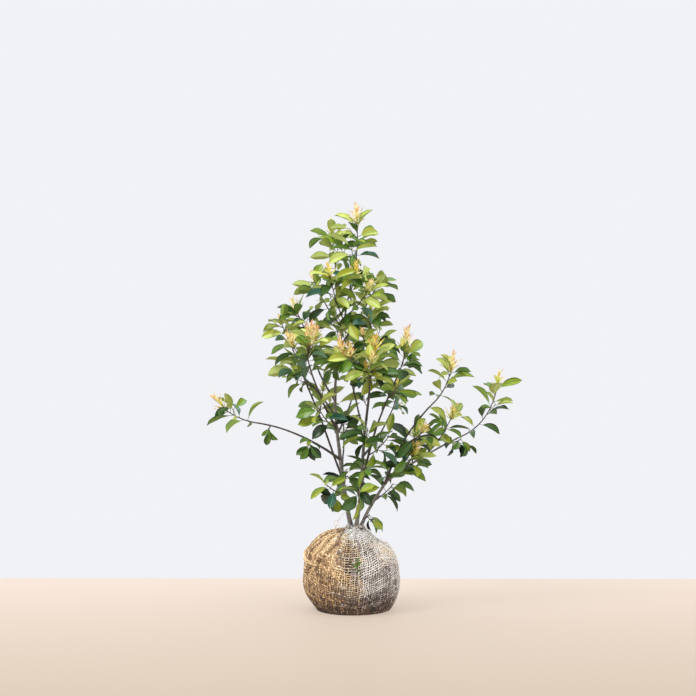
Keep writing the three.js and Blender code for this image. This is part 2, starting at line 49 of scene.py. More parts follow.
SIDEWAYS = np.array([1.0, 0.0, 0.0])
GOLDEN_TURN = math.radians(137.5)

# Wood
JOINT_GAP = 0.35
STEM_START = 252.0
STEM_SUNK = 6.0
LIMB_END = 2.2
FLARE_SIZE = 0.4
FLARE_LENGTH = 22.0
SWAY_SIZE = 0.0065
SWAY_WAVES = 8.5
UPRIGHT_SHARE = 0.2
SEARCH_STEPS = 40

# Shoots and twigs
SHOOT_FOOT = 2.3
SHOOT_END = 1.5
SHOOT_SAG = 0.16
SHOOT_LEAD = 0.5
TWIG_RADII = (1.6, 1.1)
TWIG_START = 0.3
TWIG_STEP = 0.25
TWIG_LENGTH = (46, 68)
TWIG_BEND = (0.42, 0.2)
TWIG_TIP = (0.62, 0.7)
TWIG_LEAVES = 4
TWIG_FIRST_LEAF = 0.5
TWIG_TUFT = 0.7

# Leaves
LEAF_LENGTH = 82.0
LEAF_SHORTEST = 0.84
LEAF_SWELL = 0.26
LEAF_SWELL_SPAN = (0.2, 0.9)
LEAF_WIDTH = 0.36
LEAF_OPENING = (42, 80)
LEAF_ARCH = (30, 52)
LEAF_ROLL = (0.3, 1.15)
LEAF_LEVELLING = 0.6
LEAF_HANG = (0.6, 1.4)
LEAF_FACE = (0.8, 0.5)
LEAF_ROOT = 0.4
FIRST_LEAF = 0.12
LEAF_CROWDING = 1.2
LEAF_TRIES = 9
RETRY_TURN = math.radians(23)
RETRY_OPENING = math.radians(4)
SPACE_MARGIN = 92.0
UNEVEN = dict(place=0.06, twig=0.4, turn=0.3, opening=0.22, length=0.13, width=0.12, arch=0.25)
TUFT_UPLIFT = 0.35
TIP_MATCH = 0.3  # a leaf of the rule stands where its node has a vertex this near the leaf's tip

# A limb starts at a height on another one, or goes on from its end, or else stands on the ball
Limb = namedtuple("Limb", "tip bow radius on at foot end", defaults=(None, None, None, LIMB_END))
LIMBS = {
    "stem_main": Limb((5, 12, 1063), (-51, 10, 0), 7, foot=(2, 7)),
    "stem_centre": Limb((62, -28, 880), (9, -14, 0), 6.5, foot=(13, -13)),
    "stem_right": Limb((119, 30, 408), (-5, 4, 4), 5.5, foot=(24, 5), end=4.2),
    "stem_third": Limb((145, -72, 738), (-13, -8, 0), 4.2, on="stem_centre", at=384),
    "stem_thin_left": Limb((-192, 95, 826), (2, 16, 0), 3.6, on="stem_main", at=405),
    "bough_left_long": Limb((-297, -45, 591), (0, -8, 20), 3.9, on="stem_main", at=472),
    "bough_left_up": Limb((-132, -75, 775), (-6, -14, -4), 3.7, on="stem_main", at=572),
    "bough_left_mid": Limb((-150, 52, 732), (8, 6, 0), 3.2, on="stem_main", at=604),
    "bough_left_high": Limb((-150, 125, 876), (-6, 12, -10), 3.2, on="stem_main", at=660),
    "bough_top_c": Limb((-50, 46, 1068), (-5, 5, -3), 2.7, on="stem_main", at=955),
    "bough_top_e": Limb((50, 44, 972), (-2, 8, -8), 2.9, on="stem_main", at=836),
    "bough_centre_left": Limb((-3, -112, 738), (0, -8, -6), 3.1, on="stem_centre", at=560),
    "bough_front": Limb((58, -160, 716), (0, -8, -12), 3.1, on="stem_centre", at=600),
    "bough_back_low": Limb((-26, 150, 528), (0, 4, -10), 3.3, on="stem_main", at=432),
    "bough_back_mid": Limb((8, 172, 700), (2, 8, -12), 3.3, on="stem_main", at=556),
    "bough_back_right": Limb((128, 132, 616), (0, 4, -12), 3.3, on="stem_centre", at=486),
    "bough_right_low": Limb((358, 58, 546), (2, 4, 8), 4.1, on="stem_right"),
    "bough_right_two": Limb((258, -62, 654), (-14, -10, 14), 3.8, on="stem_right", at=394),
}

# tint names the colours of a shoot's tuft, and tufted says how many of its twigs have one too
Shoot = namedtuple(
    "Shoot",
    "on tip leaves tuft tint at turn bare droop size twigs tufted",
    defaults=(0, None, None, None, FIRST_LEAF, 0, 1, 0, 0),
)
SHOOTS = {
    "leader": Shoot("stem_main", (18, 14, 1228), 13, 74, "peach", turn=315, twigs=1),
    "leader_front": Shoot("stem_main", (10, -60, 1052), 6, 64, "golden", at=996, turn=120),
    "top_a": Shoot("stem_main", (-119, 70, 1043), 10, 50, "cream", at=896, turn=240, bare=0.45),
    "top_b": Shoot("stem_main", (-66, -92, 1048), 9, 55, "golden", at=918, turn=300, bare=0.4),
    "top_c": Shoot("bough_top_c", (-64, 66, 1198), 11, 60, "golden", turn=150, twigs=1),
    "top_d": Shoot("stem_main", (50, -80, 1004), 8, 50, "cream", at=934, turn=315, bare=0.2),
    "top_e": Shoot("bough_top_e", (83, 62, 1037), 9, 54, "lime", turn=255),
    "left_high": Shoot("bough_left_high", (-179, 142, 946), 9, 66, "cream", turn=60),
    "thin_left": Shoot("stem_thin_left", (-230, 112, 910), 10, 42, "golden", turn=270),
    "left_up": Shoot("bough_left_up", (-134, -90, 830), 9, 90, "orange", twigs=2, tufted=2),
    "left_mid": Shoot("bough_left_mid", (-192, 70, 776), 10, 38, "golden"),
    "left_far": Shoot("bough_left_long", (-390, -58, 628), 8, 78, "peach", turn=345),
    "left_outer": Shoot("bough_left_long", (-262, -62, 568), 2, at=583, turn=135, droop=1.2, size=0.62),
    "left_inner": Shoot("bough_left_long", (-134, -46, 522), 5, at=534, turn=105, droop=0.9, size=0.62),
    "centre_top": Shoot("stem_centre", (62, -34, 938), 10, 38, "lime"),
    "centre_front": Shoot(
        "stem_centre", (72, -108, 796), 9, 86, "golden", at=735, turn=120, twigs=1, tufted=1
    ),
    "centre_spur": Shoot("stem_centre", (38, -90, 862), 6, 36, "orange", at=800),
    "centre_left": Shoot("bough_centre_left", (-19, -128, 790), 9, 82, "orange", turn=15, twigs=2, tufted=1),
    "third_tip": Shoot("stem_third", (168, -82, 812), 12, 90, "peach", turn=60),
    "third_side": Shoot("stem_third", (142, -104, 704), 7, at=668, turn=15, droop=0.2),
    "right_two": Shoot("bough_right_two", (310, -80, 750), 9, 76, "peach", turn=140),
    "right_sub": Shoot("bough_right_low", (314, -38, 602), 8, 62, "cream", at=480, turn=45, bare=0.5),
    "right_inner": Shoot("bough_right_two", (216, -118, 560), 8, 52, "peach", at=530),
    "right_golden": Shoot("bough_right_low", (192, -58, 486), 7, 70, "golden", at=434, turn=90),
    "right_far": Shoot("bough_right_low", (474, 74, 704), 11, 62, "lime", turn=0),
    "right_hang": Shoot("bough_right_low", (352, 22, 538), 5, at=526, droop=0.9, size=0.66),
    "mid_left": Shoot("stem_main", (-104, -58, 640), 9, at=568, turn=135, bare=0.2, droop=0.1),
    "mid_centre": Shoot("stem_centre", (52, -94, 576), 10, at=520, droop=0.1),
    "mid_right": Shoot("stem_third", (118, -86, 552), 10, at=490, droop=0.1),
    "right_back": Shoot("bough_right_low", (206, 126, 540), 8, 40, "cream", at=458),
    "low_left": Shoot("stem_main", (-84, -44, 402), 9, at=362, turn=180, droop=0.25, size=0.85),
    "low_right": Shoot("stem_right", (136, 66, 392), 8, at=345, turn=45, droop=0.3, size=0.85),
    "low_front": Shoot("stem_centre", (22, -92, 388), 9, at=338, droop=0.3, size=0.9),
    "low_back": Shoot("stem_main", (-18, 104, 436), 9, at=384, droop=0.25),
    "foot": Shoot("stem_right", (58, -14, 300), 2, at=286, droop=0.9, size=0.8),
    "back_low": Shoot("bough_back_low", (-30, 196, 586), 9, 44, "golden"),
    "back_mid": Shoot("bough_back_mid", (14, 214, 774), 10, 56, "peach"),
    "back_high": Shoot("stem_main", (-12, 128, 876), 9, 50, "cream", at=788),
    "back_right": Shoot("bough_back_right", (150, 176, 690), 10, 52, "golden"),
    "front": Shoot("bough_front", (64, -190, 772), 9, 50, "peach"),
    "back_left": Shoot("stem_thin_left", (-96, 156, 690), 9, 44, "lime", at=616),
}
Leaf = namedtuple("Leaf", "age share turn opening length width arch roll droop")
Pose = namedtuple("Pose", "root direction face across leaf")
Part = namedtuple("Part", "wood tuft leaves", defaults=(0, ()))
Mass = namedtuple("Mass", "shoot parts poses draws")


def unit(vector):
    return vector / np.linalg.norm(vector)


def between(low, high, share):
    return low + (high - low) * share


def turned(first, second, angle):
    """The direction at an angle from the first one towards the second."""
    return first * math.cos(angle) + second * math.sin(angle)


def smoothstep(value, low, high):
    share = np.clip((value - low) / (high - low), 0, 1)
    return share * share * (3 - 2 * share)


def window(value, low, full, fade, high):
    """1 from full to fade, and 0 below low and above high."""
    return smoothstep(value, low, full) * (1 - smoothstep(value, fade, high))


def bell(offset):
    return np.exp(-(offset**2))


class Draws:
    """Numbers from 0 to 1 in an order that the seed fixes."""

    def __init__(self, seed):
        self.state = (seed * 2654435761) % 2**32

    def next(self):
        self.state = (self.state * 1664525 + 1013904223) % 2**32
        return self.state / 2**32

    def turn(self):
        return 2 * math.pi * self.next()

    def either(self, size):
        return size * (2 * self.next() - 1)

    def among(self, low, high):
        return between(low, high, self.next())


class Wood:
    """A tapering stem, bough or twig. With a phase it is a limb, which sways and flares at its foot."""

    def __init__(self, start, bend, end, radii, phase=None):
        self.corners = [np.asarray(point, float) for point in (start, bend, end)]
        self.radii = radii
        self.phase = phase
        chord = self.corners[2] - self.corners[0]
        self.span = np.linalg.norm(chord)
        self.sway = 0.0 if phase is None else SWAY_SIZE * self.span
        self.flare = 0.0 if phase is None else FLARE_SIZE
        level = np.cross(chord, SKY)
        upright = np.linalg.norm(level) < UPRIGHT_SHARE * self.span
        self.side = SIDEWAYS if upright else unit(level)

    def point(self, share):
        start, bend, end = self.corners
        place = (1 - share) ** 2 * start + 2 * (1 - share) * share * bend + share**2 * end
        if self.sway == 0:
            return place
        swing = math.sin(math.pi * share) * math.sin(SWAY_WAVES * share + self.phase)
        return place + self.side * (self.sway * swing)

    def tangent(self, share):
        step = 0.0001
        return unit(self.point(min(share + step, 1)) - self.point(max(share - step, 0)))

    def section(self, share):
        along = self.tangent(share)
        upward = unit(np.cross(self.side, along))
        return self.point(share), along, upward, np.cross(along, upward)

    def radius(self, share):
        flare = self.flare * math.exp(-share * self.span / FLARE_LENGTH)
        return between(*self.radii, share) * (1 + flare)

    def share_at(self, height):
        low, high = 0.0, 1.0
        for _ in range(SEARCH_STEPS):
            middle = (low + high) / 2
            if self.point(middle)[2] < height:
                low = middle
            else:
                high = middle
        return low


def start_on(carrier, height):
    if height is not None:
        return carrier.point(carrier.share_at(height))
    centre, along, _, _ = carrier.section(1)
    return centre + along * JOINT_GAP


def limb_wood(limb, index, woods):
    if limb.on:
        start = start_on(woods[limb.on], limb.at)
    else:
        start = np.array([*limb.foot, STEM_START - STEM_SUNK], float)
    end = np.array(limb.tip, float)
    bend = (start + end) / 2 + 2 * np.array(limb.bow, float)
    return Wood(start, bend, end, (limb.radius, limb.end), index)


def shoot_wood(shoot, carrier):
    start, end = start_on(carrier, shoot.at), np.array(shoot.tip, float)
    span = np.linalg.norm(end - start)
    if shoot.at is None:
        ahead = start + carrier.tangent(1) * (SHOOT_LEAD * span)
        return Wood(start, ahead, end, (carrier.radii[1], SHOOT_END))
    low = (start + end) / 2 - SKY * (SHOOT_SAG * span)
    return Wood(start, low, end, (SHOOT_FOOT, SHOOT_END))


def twig_wood(stem, share, turn, length, radii=TWIG_RADII):
    centre, along, upward, across = stem.section(share)
    outward = turned(across, upward, turn)
    points = [centre + outward * (out * length) + along * (on * length) for out, on in (TWIG_BEND, TWIG_TIP)]
    return Wood(centre, *points, radii)


def leaf_plans(draws, count, start, first_turn, size=1, droop=0):
    """The measures of each leaf along one stem or twig, from its foot to its tip."""
    leaves = []
    for i in range(count):
        age = 1 - (i + 0.5) / count
        swell = LEAF_SWELL * math.sin(math.pi * between(*LEAF_SWELL_SPAN, age))
        leaves.append(Leaf(
            age=age,
            share=1 - (1 - start) * age**LEAF_CROWDING,
            turn=first_turn + GOLDEN_TURN * i + draws.either(UNEVEN["turn"]),
            opening=math.radians(between(*LEAF_OPENING, age)) + draws.either(UNEVEN["opening"]),
            length=size * LEAF_LENGTH * (LEAF_SHORTEST + swell + draws.either(UNEVEN["length"])),
            width=LEAF_WIDTH / math.sqrt(size) * (1 + draws.either(UNEVEN["width"])),
            arch=math.radians(between(*LEAF_ARCH, age)) + draws.either(UNEVEN["arch"]),
            roll=(-1 if draws.next() < 0.5 else 1) * draws.among(*LEAF_ROLL),
            droop=droop * draws.among(*LEAF_HANG),
        ))
    return leaves


def shoot_plan(shoot, index, woods):
    """A shoot's stem and side twigs, with the leaves and tuft that each one bears."""
    draws, carrier = Draws(index + 1), woods[shoot.on]
    stem = shoot_wood(shoot, carrier)
    clear = 0 if shoot.at is None else carrier.radii[0] + SHOOT_FOOT
    plan = [(stem, shoot.leaves, shoot.bare + clear / stem.span, shoot.tuft)]
    first_turn = draws.turn() if shoot.turn is None else math.radians(shoot.turn)
    for i in range(shoot.twigs):
        share = TWIG_START + TWIG_STEP * i + draws.either(UNEVEN["place"])
        turn = first_turn + math.pi + GOLDEN_TURN * i + draws.either(UNEVEN["twig"])
        wood = twig_wood(stem, share, turn, draws.among(*TWIG_LENGTH))
        plan.append((wood, TWIG_LEAVES, TWIG_FIRST_LEAF, TWIG_TUFT * shoot.tuft if i < shoot.tufted else 0))
    return [
        Part(wood, tuft, leaf_plans(draws, count, start, first_turn, shoot.size, shoot.droop))
        for wood, count, start, tuft in plan
    ]


def leaf_pose(wood, leaf, attempt=0):
    centre, along, upward, across = wood.section(leaf.share)
    outward = turned(across, upward, leaf.turn + RETRY_TURN * attempt * (1 if attempt % 2 else -1))
    direction = turned(along, outward, leaf.opening + RETRY_OPENING * attempt)
    if direction[2] < 0:
        direction = direction * np.array([1, 1, LEAF_LEVELLING])
    direction = unit(direction - SKY * leaf.droop)
    face = SKY * LEAF_FACE[0] + along * LEAF_FACE[1]
    face = unit(face - direction * face.dot(direction))
    face = turned(face, np.cross(direction, face), leaf.roll)
    return Pose(centre - direction * LEAF_ROOT, direction, face, np.cross(direction, face), leaf)


def leaf_point(pose, share, side=0.0):
    """A point on a leaf: its middle is an arc that bends down."""
    leaf = pose.leaf
    bend, radius = leaf.arch * share, leaf.length / leaf.arch
    ahead, down = radius * math.sin(bend), radius * (math.cos(bend) - 1)
    edge = 0.5 * side * leaf.width * leaf.length
    return pose.root + pose.direction * ahead + pose.face * down + pose.across * edge


def add_object(name, data):
    thing = bpy.data.objects.new(name, data)
    bpy.context.scene.collection.objects.link(thing)
    return thing


class Build:
    """Vertices and faces gathered into one mesh, with the index of a material for each face."""

    def __init__(self):
        self.points, self.faces, self.looks, self.count, self.triangles = [], [], [], 0, 0

    def add(self, points, *blocks, looks=0):
        """Each block is an array of quads or of triangles that count from the first of these points."""
        for faces in blocks:
            self.faces.append(faces + self.count)
            self.looks.append(np.broadcast_to(looks, len(faces)))
            self.triangles += faces.size - 2 * len(faces)
        self.points.append(points)
        self.count += len(points)

    def piece(self, name, materials, slot):
        mesh = bpy.data.meshes.new(name)
        points = np.concatenate(self.points) * MM
        corners = np.concatenate([faces.ravel() for faces in self.faces])
        sizes = np.concatenate([np.full(len(faces), faces.shape[1]) for faces in self.faces])
        mesh.vertices.add(len(points))
        mesh.vertices.foreach_set("co", points.astype(np.float32).ravel())
        mesh.loops.add(len(corners))
        mesh.loops.foreach_set("vertex_index", corners.astype(np.int32))
        mesh.polygons.add(len(sizes))
        mesh.polygons.foreach_set("loop_start", (np.cumsum(sizes) - sizes).astype(np.int32))
        mesh.polygons.foreach_set("material_index", np.concatenate(self.looks).astype(np.int32))
        mesh.polygons.foreach_set("use_smooth", np.ones(len(sizes), bool))
        for material in materials:
            mesh.materials.append(material)
        mesh.update(calc_edges=True)
        mesh.validate()
        thing = add_object(name, mesh)
        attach(thing, "root")
        return thing


def grid_faces(rows, columns, closed=False):
    """Quads between rows of points, which come round to their first point if they are closed."""
    column = np.arange(columns if closed else columns - 1)
    first = columns * np.arange(rows - 1)[:, None] + column
    second = first - column + (column + 1) % columns
    return np.stack([first, second, second + columns, first + columns], -1).reshape(-1, 4)


def blade_faces(rows, columns):
    """The quads of a blade's top, and then those of its underside."""
    quads = grid_faces(len(rows), len(columns))
    return np.concatenate([quads[:, ::-1], quads + len(rows) * len(columns)])


def tube_faces(rows, sides):
    """The quads of a tube of rings, and the two fans that close its ends round two last points."""
    ring, last = np.arange(sides), sides * (rows - 1)
    following, hub = (ring + 1) % sides, np.full(sides, sides * rows)
    ends = [np.stack([hub, following, ring], -1), np.stack([hub + 1, last + ring, last + following], -1)]
    return grid_faces(rows, sides, closed=True), np.concatenate(ends)


def add_tube(build, wood, sides, spacing, look=0, relief=None, sunk=0.0):
    """A tube along a line of wood. relief gives extra radius for a distance along it and a turn."""
    rows = max(3, int(wood.span / spacing) + 1)
    turns = 2 * np.pi * np.arange(sides) / sides
    rings = []
    for share in np.linspace(0, 1, rows):
        centre, along, upward, across = wood.section(share)
        centre = centre - along * (sunk * (1 - share))
        size = np.full(sides, wood.radius(share))
        if relief:
            size = size + relief(share * wood.span, turns)
        out, up = (size * np.cos(turns))[:, None], (size * np.sin(turns))[:, None]
        rings.append(centre + across * out + upward * up)
    points = np.concatenate([*rings, [rings[0].mean(0)], [rings[-1].mean(0)]])
    build.add(points, *tube_faces(rows, sides), looks=look)


# Colours and materials


def srgb(red, green, blue):
    """A colour as a screen shows it, from 0 to 255, as the light that it stands for."""
    shares = np.array([red, green, blue]) / 255
    return tuple(np.where(shares <= 0.04045, shares / 12.92, ((shares + 0.055) / 1.055) ** 2.4))


def new_material(name):
    material = bpy.data.materials.new(name)
    material.use_nodes = True
    nodes, links = material.node_tree.nodes, material.node_tree.links
    return material, nodes, links, nodes["Principled BSDF"]


def put(node, values):
    for name, value in values.items():
        node.inputs[name].default_value = value


def add_bump(nodes, links, shader, scale, strength, distance, detail=4.0):
    """Fine unevenness of the surface, scale being how often it repeats in a metre."""
    place = nodes.new("ShaderNodeTexCoord")
    noise = nodes.new("ShaderNodeTexNoise")
    bump = nodes.new("ShaderNodeBump")
    put(noise, {"Scale": scale, "Detail": detail})
    put(bump, {"Strength": strength, "Distance": distance})
    links.new(place.outputs["Object"], noise.inputs["Vector"])
    links.new(noise.outputs["Fac"], bump.inputs["Height"])
    links.new(bump.outputs["Normal"], shader.inputs["Normal"])
    return place, noise


def add_ramp(nodes, links, value, dark, pale, span=(0.0, 1.0)):
    """A colour that goes from dark to pale over a span of a value."""
    ramp = nodes.new("ShaderNodeValToRGB")
    for stop, place, colour in zip(ramp.color_ramp.elements, span, (dark, pale)):
        stop.position, stop.color = place, (*srgb(*colour), 1)
    links.new(value, ramp.inputs["Fac"])
    return ramp.outputs["Color"]


def plain_material(name, colour, roughness, scale, strength, coat=0.0, sheen=0.0, gloss=0.5):
    """One base colour over a fine relief."""
    material, nodes, links, shader = new_material(name)
    put(shader, {"Base Color": (*srgb(*colour), 1), "Roughness": roughness, "Specular IOR Level": gloss})
    put(shader, {"Coat Weight": coat, "Coat Roughness": 0.3, "Sheen Weight": sheen})
    add_bump(nodes, links, shader, scale, strength, 0.0004)
    return material


def mottled_material(name, dark, pale, span, relief, roughness, streak=None):
    """Two colours that run into each other, in streaks along Z if streak is less than 1."""
    material, nodes, links, shader = new_material(name)
    place, noise = add_bump(nodes, links, shader, *relief)
    if streak:
        stretch = nodes.new("ShaderNodeMapping")
        put(stretch, {"Scale": (1, 1, streak)})
        links.new(place.outputs["Object"], stretch.inputs["Vector"])
        links.new(stretch.outputs["Vector"], noise.inputs["Vector"])
    links.new(add_ramp(nodes, links, noise.outputs["Fac"], dark, pale, span), shader.inputs["Base Color"])
    put(shader, {"Roughness": roughness})
    return material


# Mature leaves: top, middle rib and underside, from the youngest tone to the oldest, and a blue-green
# one that a few old leaves have, whose blue is partly a painted reflection of the pale sky on glossy leaves
LEAF_TONES = {
    "lime": ((184, 198, 104), (212, 222, 150), (184, 200, 118)),
    "olive": ((164, 170, 54), (184, 192, 104), (160, 178, 88)),
    "fresh": ((136, 158, 42), (152, 172, 78), (138, 164, 80)),
    "grass": ((94, 134, 34), (122, 150, 74), (118, 152, 76)),
    "mid": ((61, 99, 26), (84, 112, 52), (92, 122, 62)),
    "deep": ((31, 60, 18), (58, 84, 42), (70, 98, 52)),
    "dark": ((10, 26, 12), (38, 62, 34), (52, 78, 44)),
    "blue": ((50, 98, 78), (96, 138, 114), (104, 142, 114)),
}
TONES = len(LEAF_TONES)
BLUE_SHEEN_TONE = TONES - 1
OLDEST_TONE = BLUE_SHEEN_TONE - 1
LEAF_SIDES = (  # roughness and coat from the first tone to the last, relief and gloss
    ("top", (0.4, 0.24), (0, 0.25), 0.12, 0.34),
    ("rib", (0.45, 0.45), (0, 0), 0.12, 0.34),
    ("under", (0.62, 0.62), (0, 0), 0.15, 0.2),
)
LEAF_MATERIALS = []
for side, (name, roughness, coat, relief, gloss) in enumerate(LEAF_SIDES):
    for (tone_name, colours), shine in zip(LEAF_TONES.items(), np.linspace(0, 1, TONES)):
        finish = dict(coat=between(*coat, shine), gloss=gloss)
        roughly = between(*roughness, shine)
        material = plain_material(f"leaf_{name}_{tone_name}", colours[side], roughly, 500, relief, **finish)
        LEAF_MATERIALS.append(material)
LEAF_MATERIALS.append(plain_material("leaf_stalk", (104, 94, 70), 0.5, 900, 0.2))
LOOK_RIB, LOOK_UNDER, LOOK_STALK = TONES, 2 * TONES, 3 * TONES

# Young leaves: near the root, the middle and the tip
TUFT_TINTS = {
    "peach": ((196, 176, 98), (254, 240, 184), (232, 184, 130)),
    "golden": ((200, 184, 70), (255, 238, 130), (240, 206, 100)),
    "cream": ((192, 190, 110), (252, 242, 188), (236, 212, 150)),
    "orange": ((202, 166, 92), (254, 238, 178), (236, 176, 124)),
    "lime": ((164, 176, 70), (222, 222, 122), (232, 214, 132)),
}
TINT_LOOKS = {name: 3 * number for number, name in enumerate(TUFT_TINTS)}
TUFT_MATERIALS = [
    plain_material(f"young_{name}_{zone}", colour, 0.42, 900, 0.2, coat=0.1)
    for name, colours in TUFT_TINTS.items()
    for zone, colour in zip(("root", "middle", "tip"), colours)
]
LOOK_BRACT = len(TUFT_MATERIALS)
TUFT_MATERIALS.append(plain_material("young_bract", (136, 78, 58), 0.55, 900, 0.3))
TWIG_MATERIALS = [
    plain_material("twig_brown", (66, 56, 54), 0.7, 700, 0.5),
    plain_material("twig_red", (96, 78, 66), 0.6, 700, 0.4),
    plain_material("twig_green", (134, 130, 66), 0.5, 700, 0.3),
]
BARK = dict(span=(0.32, 0.68), relief=(260, 0.6, 0.0006, 6.0), roughness=0.72, streak=0.35)
OLD_BARK = mottled_material("bark_old", (84, 79, 75), (160, 154, 147), **BARK)
YOUNG_BARK = mottled_material("bark_young", (46, 40, 40), (100, 90, 86), **BARK)

# Wood: one piece for each stem and bough
BARK_SIDES = 14
BARK_SPACING = 3.0
NODE_SPACING = 34.0  # from one old leaf scar to the next
NODE_SWELLING = 0.45
NODE_LENGTH = 2.6
BARK_WAVES = ((0.035, 2, 31), (0.03, 3, -13), (0.02, 5, 4.7))  # height, number and run along the wood
OLD_LIMBS = ("stem_main", "stem_centre", "stem_right", "bough_right_low")


def bark_relief(index, radius):
    """Extra radius: a swelling at each old leaf scar, and an uneven surface."""
    draws = Draws(500 + index)
    phases = [draws.turn() for _ in range(4)]

    def relief(distance, turns):
        swell = NODE_SWELLING * bell((distance % NODE_SPACING - NODE_SPACING / 2) / NODE_LENGTH)
        rough = 0
        for (size, waves, run), phase in zip(BARK_WAVES, phases):
            rough = rough + size * radius * np.sin(waves * turns + phase + distance / run)
        return swell * (1 + 0.5 * np.cos(turns + phases[3] + distance)) + rough

    return relief


WOODS = {}
for number, (name, limb) in enumerate(LIMBS.items()):
    WOODS[name] = limb_wood(limb, number, WOODS)
    build = Build()
    add_tube(build, WOODS[name], BARK_SIDES, BARK_SPACING, relief=bark_relief(number, limb.radius))
    piece = build.piece(f"{name}_bark", [OLD_BARK if name in OLD_LIMBS else YOUNG_BARK], "bark")
    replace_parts(piece, name)

# Mature leaves
STALK_SHARE = 0.16
BLADE_ROWS = 17
LEAF_COLUMNS = np.array([-1, -0.78, -0.44, -0.11, 0, 0.11, 0.44, 0.78, 1])
LEAF_ROWS = np.concatenate([[0, STALK_SHARE / 2], np.linspace(STALK_SHARE, 1, BLADE_ROWS + 1)])
BLADE_SHARES = np.clip((LEAF_ROWS - STALK_SHARE) / (1 - STALK_SHARE), 0, 1)
BLADE_NARROWING = (0.82, 1.08)  # a blade's width as a share of its solid's
BLADE_FOOT = (0.86, 1.15)  # over these powers its outline fills out from the foot
BLADE_TIP = (0.72, 1.05)  # and closes towards the tip, from round to pointed
PALE_HALF = 0.6  # how often a half of a blade is a tone paler
POINT_SIZE = 0.34
POINT_LENGTH = 0.12
TEETH = 0.028 * (-1.0) ** np.arange(len(LEAF_ROWS)) * ((BLADE_SHARES > 0.15) & (BLADE_SHARES < 0.97))
LEAF_FACES = blade_faces(LEAF_ROWS, LEAF_COLUMNS)
# For each face of one side: 0 edge, 1 rib, 2 stalk, and 3 and 4 the halves on either side of the rib
COLUMN_ZONES = np.array([0, 3, 3, 1, 1, 4, 4, 0])
LEAF_ZONES = np.tile(COLUMN_ZONES, (len(LEAF_ROWS) - 1, 1))
LEAF_ZONES[-1, COLUMN_ZONES > 2] = 0
LEAF_ZONES[:2] = 2
LEAF_ZONES = LEAF_ZONES.ravel()
FOLD = (0.2, 0.95)  # how steeply the halves of a blade rise
FOLD_WIDTH = 1.12  # how much wider a blade is cut for its fold
LEAST_HALF = (0.9, 0.12)  # at the stalk and at the tip
CUP = 1.25
EDGE_WAVE, EDGE_WAVES = 1.6, 2.1
TWIST = 0.4
SIDE_BOW = 0.04
RIB_DEPTH, RIB_WIDTH = 0.4, 0.1
VEIN_HEIGHT, VEINS, VEIN_LEAN = 0.3, 8.5, 1.2
BLADE_THICKNESS, RIB_THICKNESS = 0.4, 0.8
STALK_HEIGHT, STALK_THICKNESS = 0.55, 1.6


def blade_outline(draws):
    """Half widths along a blade, the widest being 1, with a drawn-out point and small teeth."""
    outline = BLADE_SHARES ** draws.among(*BLADE_FOOT) * (1 - BLADE_SHARES) ** draws.among(*BLADE_TIP)
    outline = outline / outline.max()
    return outline * (1 - POINT_SIZE * bell((1 - BLADE_SHARES) / POINT_LENGTH)) * (1 + TEETH)


def blade_points(root, *parts):
    """Points on a blade, from how far they lie along each of some directions."""
    return sum((distance[..., None] * direction for distance, direction in parts), root).reshape(-1, 3)


def add_leaf(build, pose, tone, draws):
    length, arch = pose.leaf.length, pose.leaf.arch
    share, blade, side = LEAF_ROWS[:, None], BLADE_SHARES[:, None], LEAF_COLUMNS[None, :]
    half = 0.5 * pose.leaf.width * length * draws.among(*BLADE_NARROWING) * blade_outline(draws)[:, None]
    half = np.maximum(half, between(*LEAST_HALF, blade))
    fold, wave, phase = draws.among(*FOLD), draws.either(EDGE_WAVE), draws.turn()
    half = half * (FOLD_WIDTH / math.hypot(1, fold))
    twist, bow = draws.either(TWIST), draws.either(SIDE_BOW)
    spread, rib = np.abs(side), bell(side / RIB_WIDTH)
    veins = np.cos(2 * np.pi * (VEINS * blade - VEIN_LEAN * spread))
    lift = fold * half * spread**CUP - RIB_DEPTH * rib
    lift = lift + VEIN_HEIGHT * veins * np.sqrt(spread) * (1 - spread)
    lift = lift + wave * np.sin(2 * np.pi * EDGE_WAVES * blade + phase) * spread**2 * half / 14
    lift = np.where(share <= STALK_SHARE, STALK_HEIGHT * (1 - side**2), lift)
    thick = BLADE_THICKNESS * (1 - spread**4) + RIB_THICKNESS * rib * (1 - blade)
    thick = np.where(share <= STALK_SHARE, STALK_THICKNESS * (1 - side**2), thick)
    radius, bend = length / arch, arch * share
    tilt = twist * np.clip(share - STALK_SHARE, 0, 1)
    middle = bow * length * np.sin(np.pi * share) ** 2
    grids = []
    for rise in (lift, lift - thick):
        level = side * half * np.cos(tilt) - rise * np.sin(tilt)
        rise = side * half * np.sin(tilt) + rise * np.cos(tilt)
        ahead, out = (radius + rise) * np.sin(bend), (radius + rise) * np.cos(bend) - radius
        parts = (ahead, pose.direction), (out, pose.face), (level + middle, pose.across)
        grids.append(blade_points(pose.root, *parts))
    edge = tone if tone == BLUE_SHEEN_TONE else min(tone + 1, OLDEST_TONE)
    halves = [tone if tone == BLUE_SHEEN_TONE else max(tone - int(draws.next() < PALE_HALF), 0) for _ in range(2)]
    looks = [
        np.choose(LEAF_ZONES, [layer + edge, LOOK_RIB + tone, LOOK_STALK, *(layer + half for half in halves)])
        for layer in (0, LOOK_UNDER)
    ]
    build.add(np.concatenate(grids), LEAF_FACES, looks=np.concatenate(looks))


# Young leaves
YOUNG_ROWS = np.linspace(0, 1, 8)
YOUNG_COLUMNS = np.array([-1, -0.5, 0, 0.5, 1])
YOUNG_OUTLINE = np.maximum(np.sin(np.pi * YOUNG_ROWS**0.9) ** 0.62, 0.1)
YOUNG_FACES = blade_faces(YOUNG_ROWS, YOUNG_COLUMNS)
YOUNG_ZONES = np.tile(np.repeat([0, 0, 1, 1, 1, 2, 2], len(YOUNG_COLUMNS) - 1), 2)  # root, middle and tip


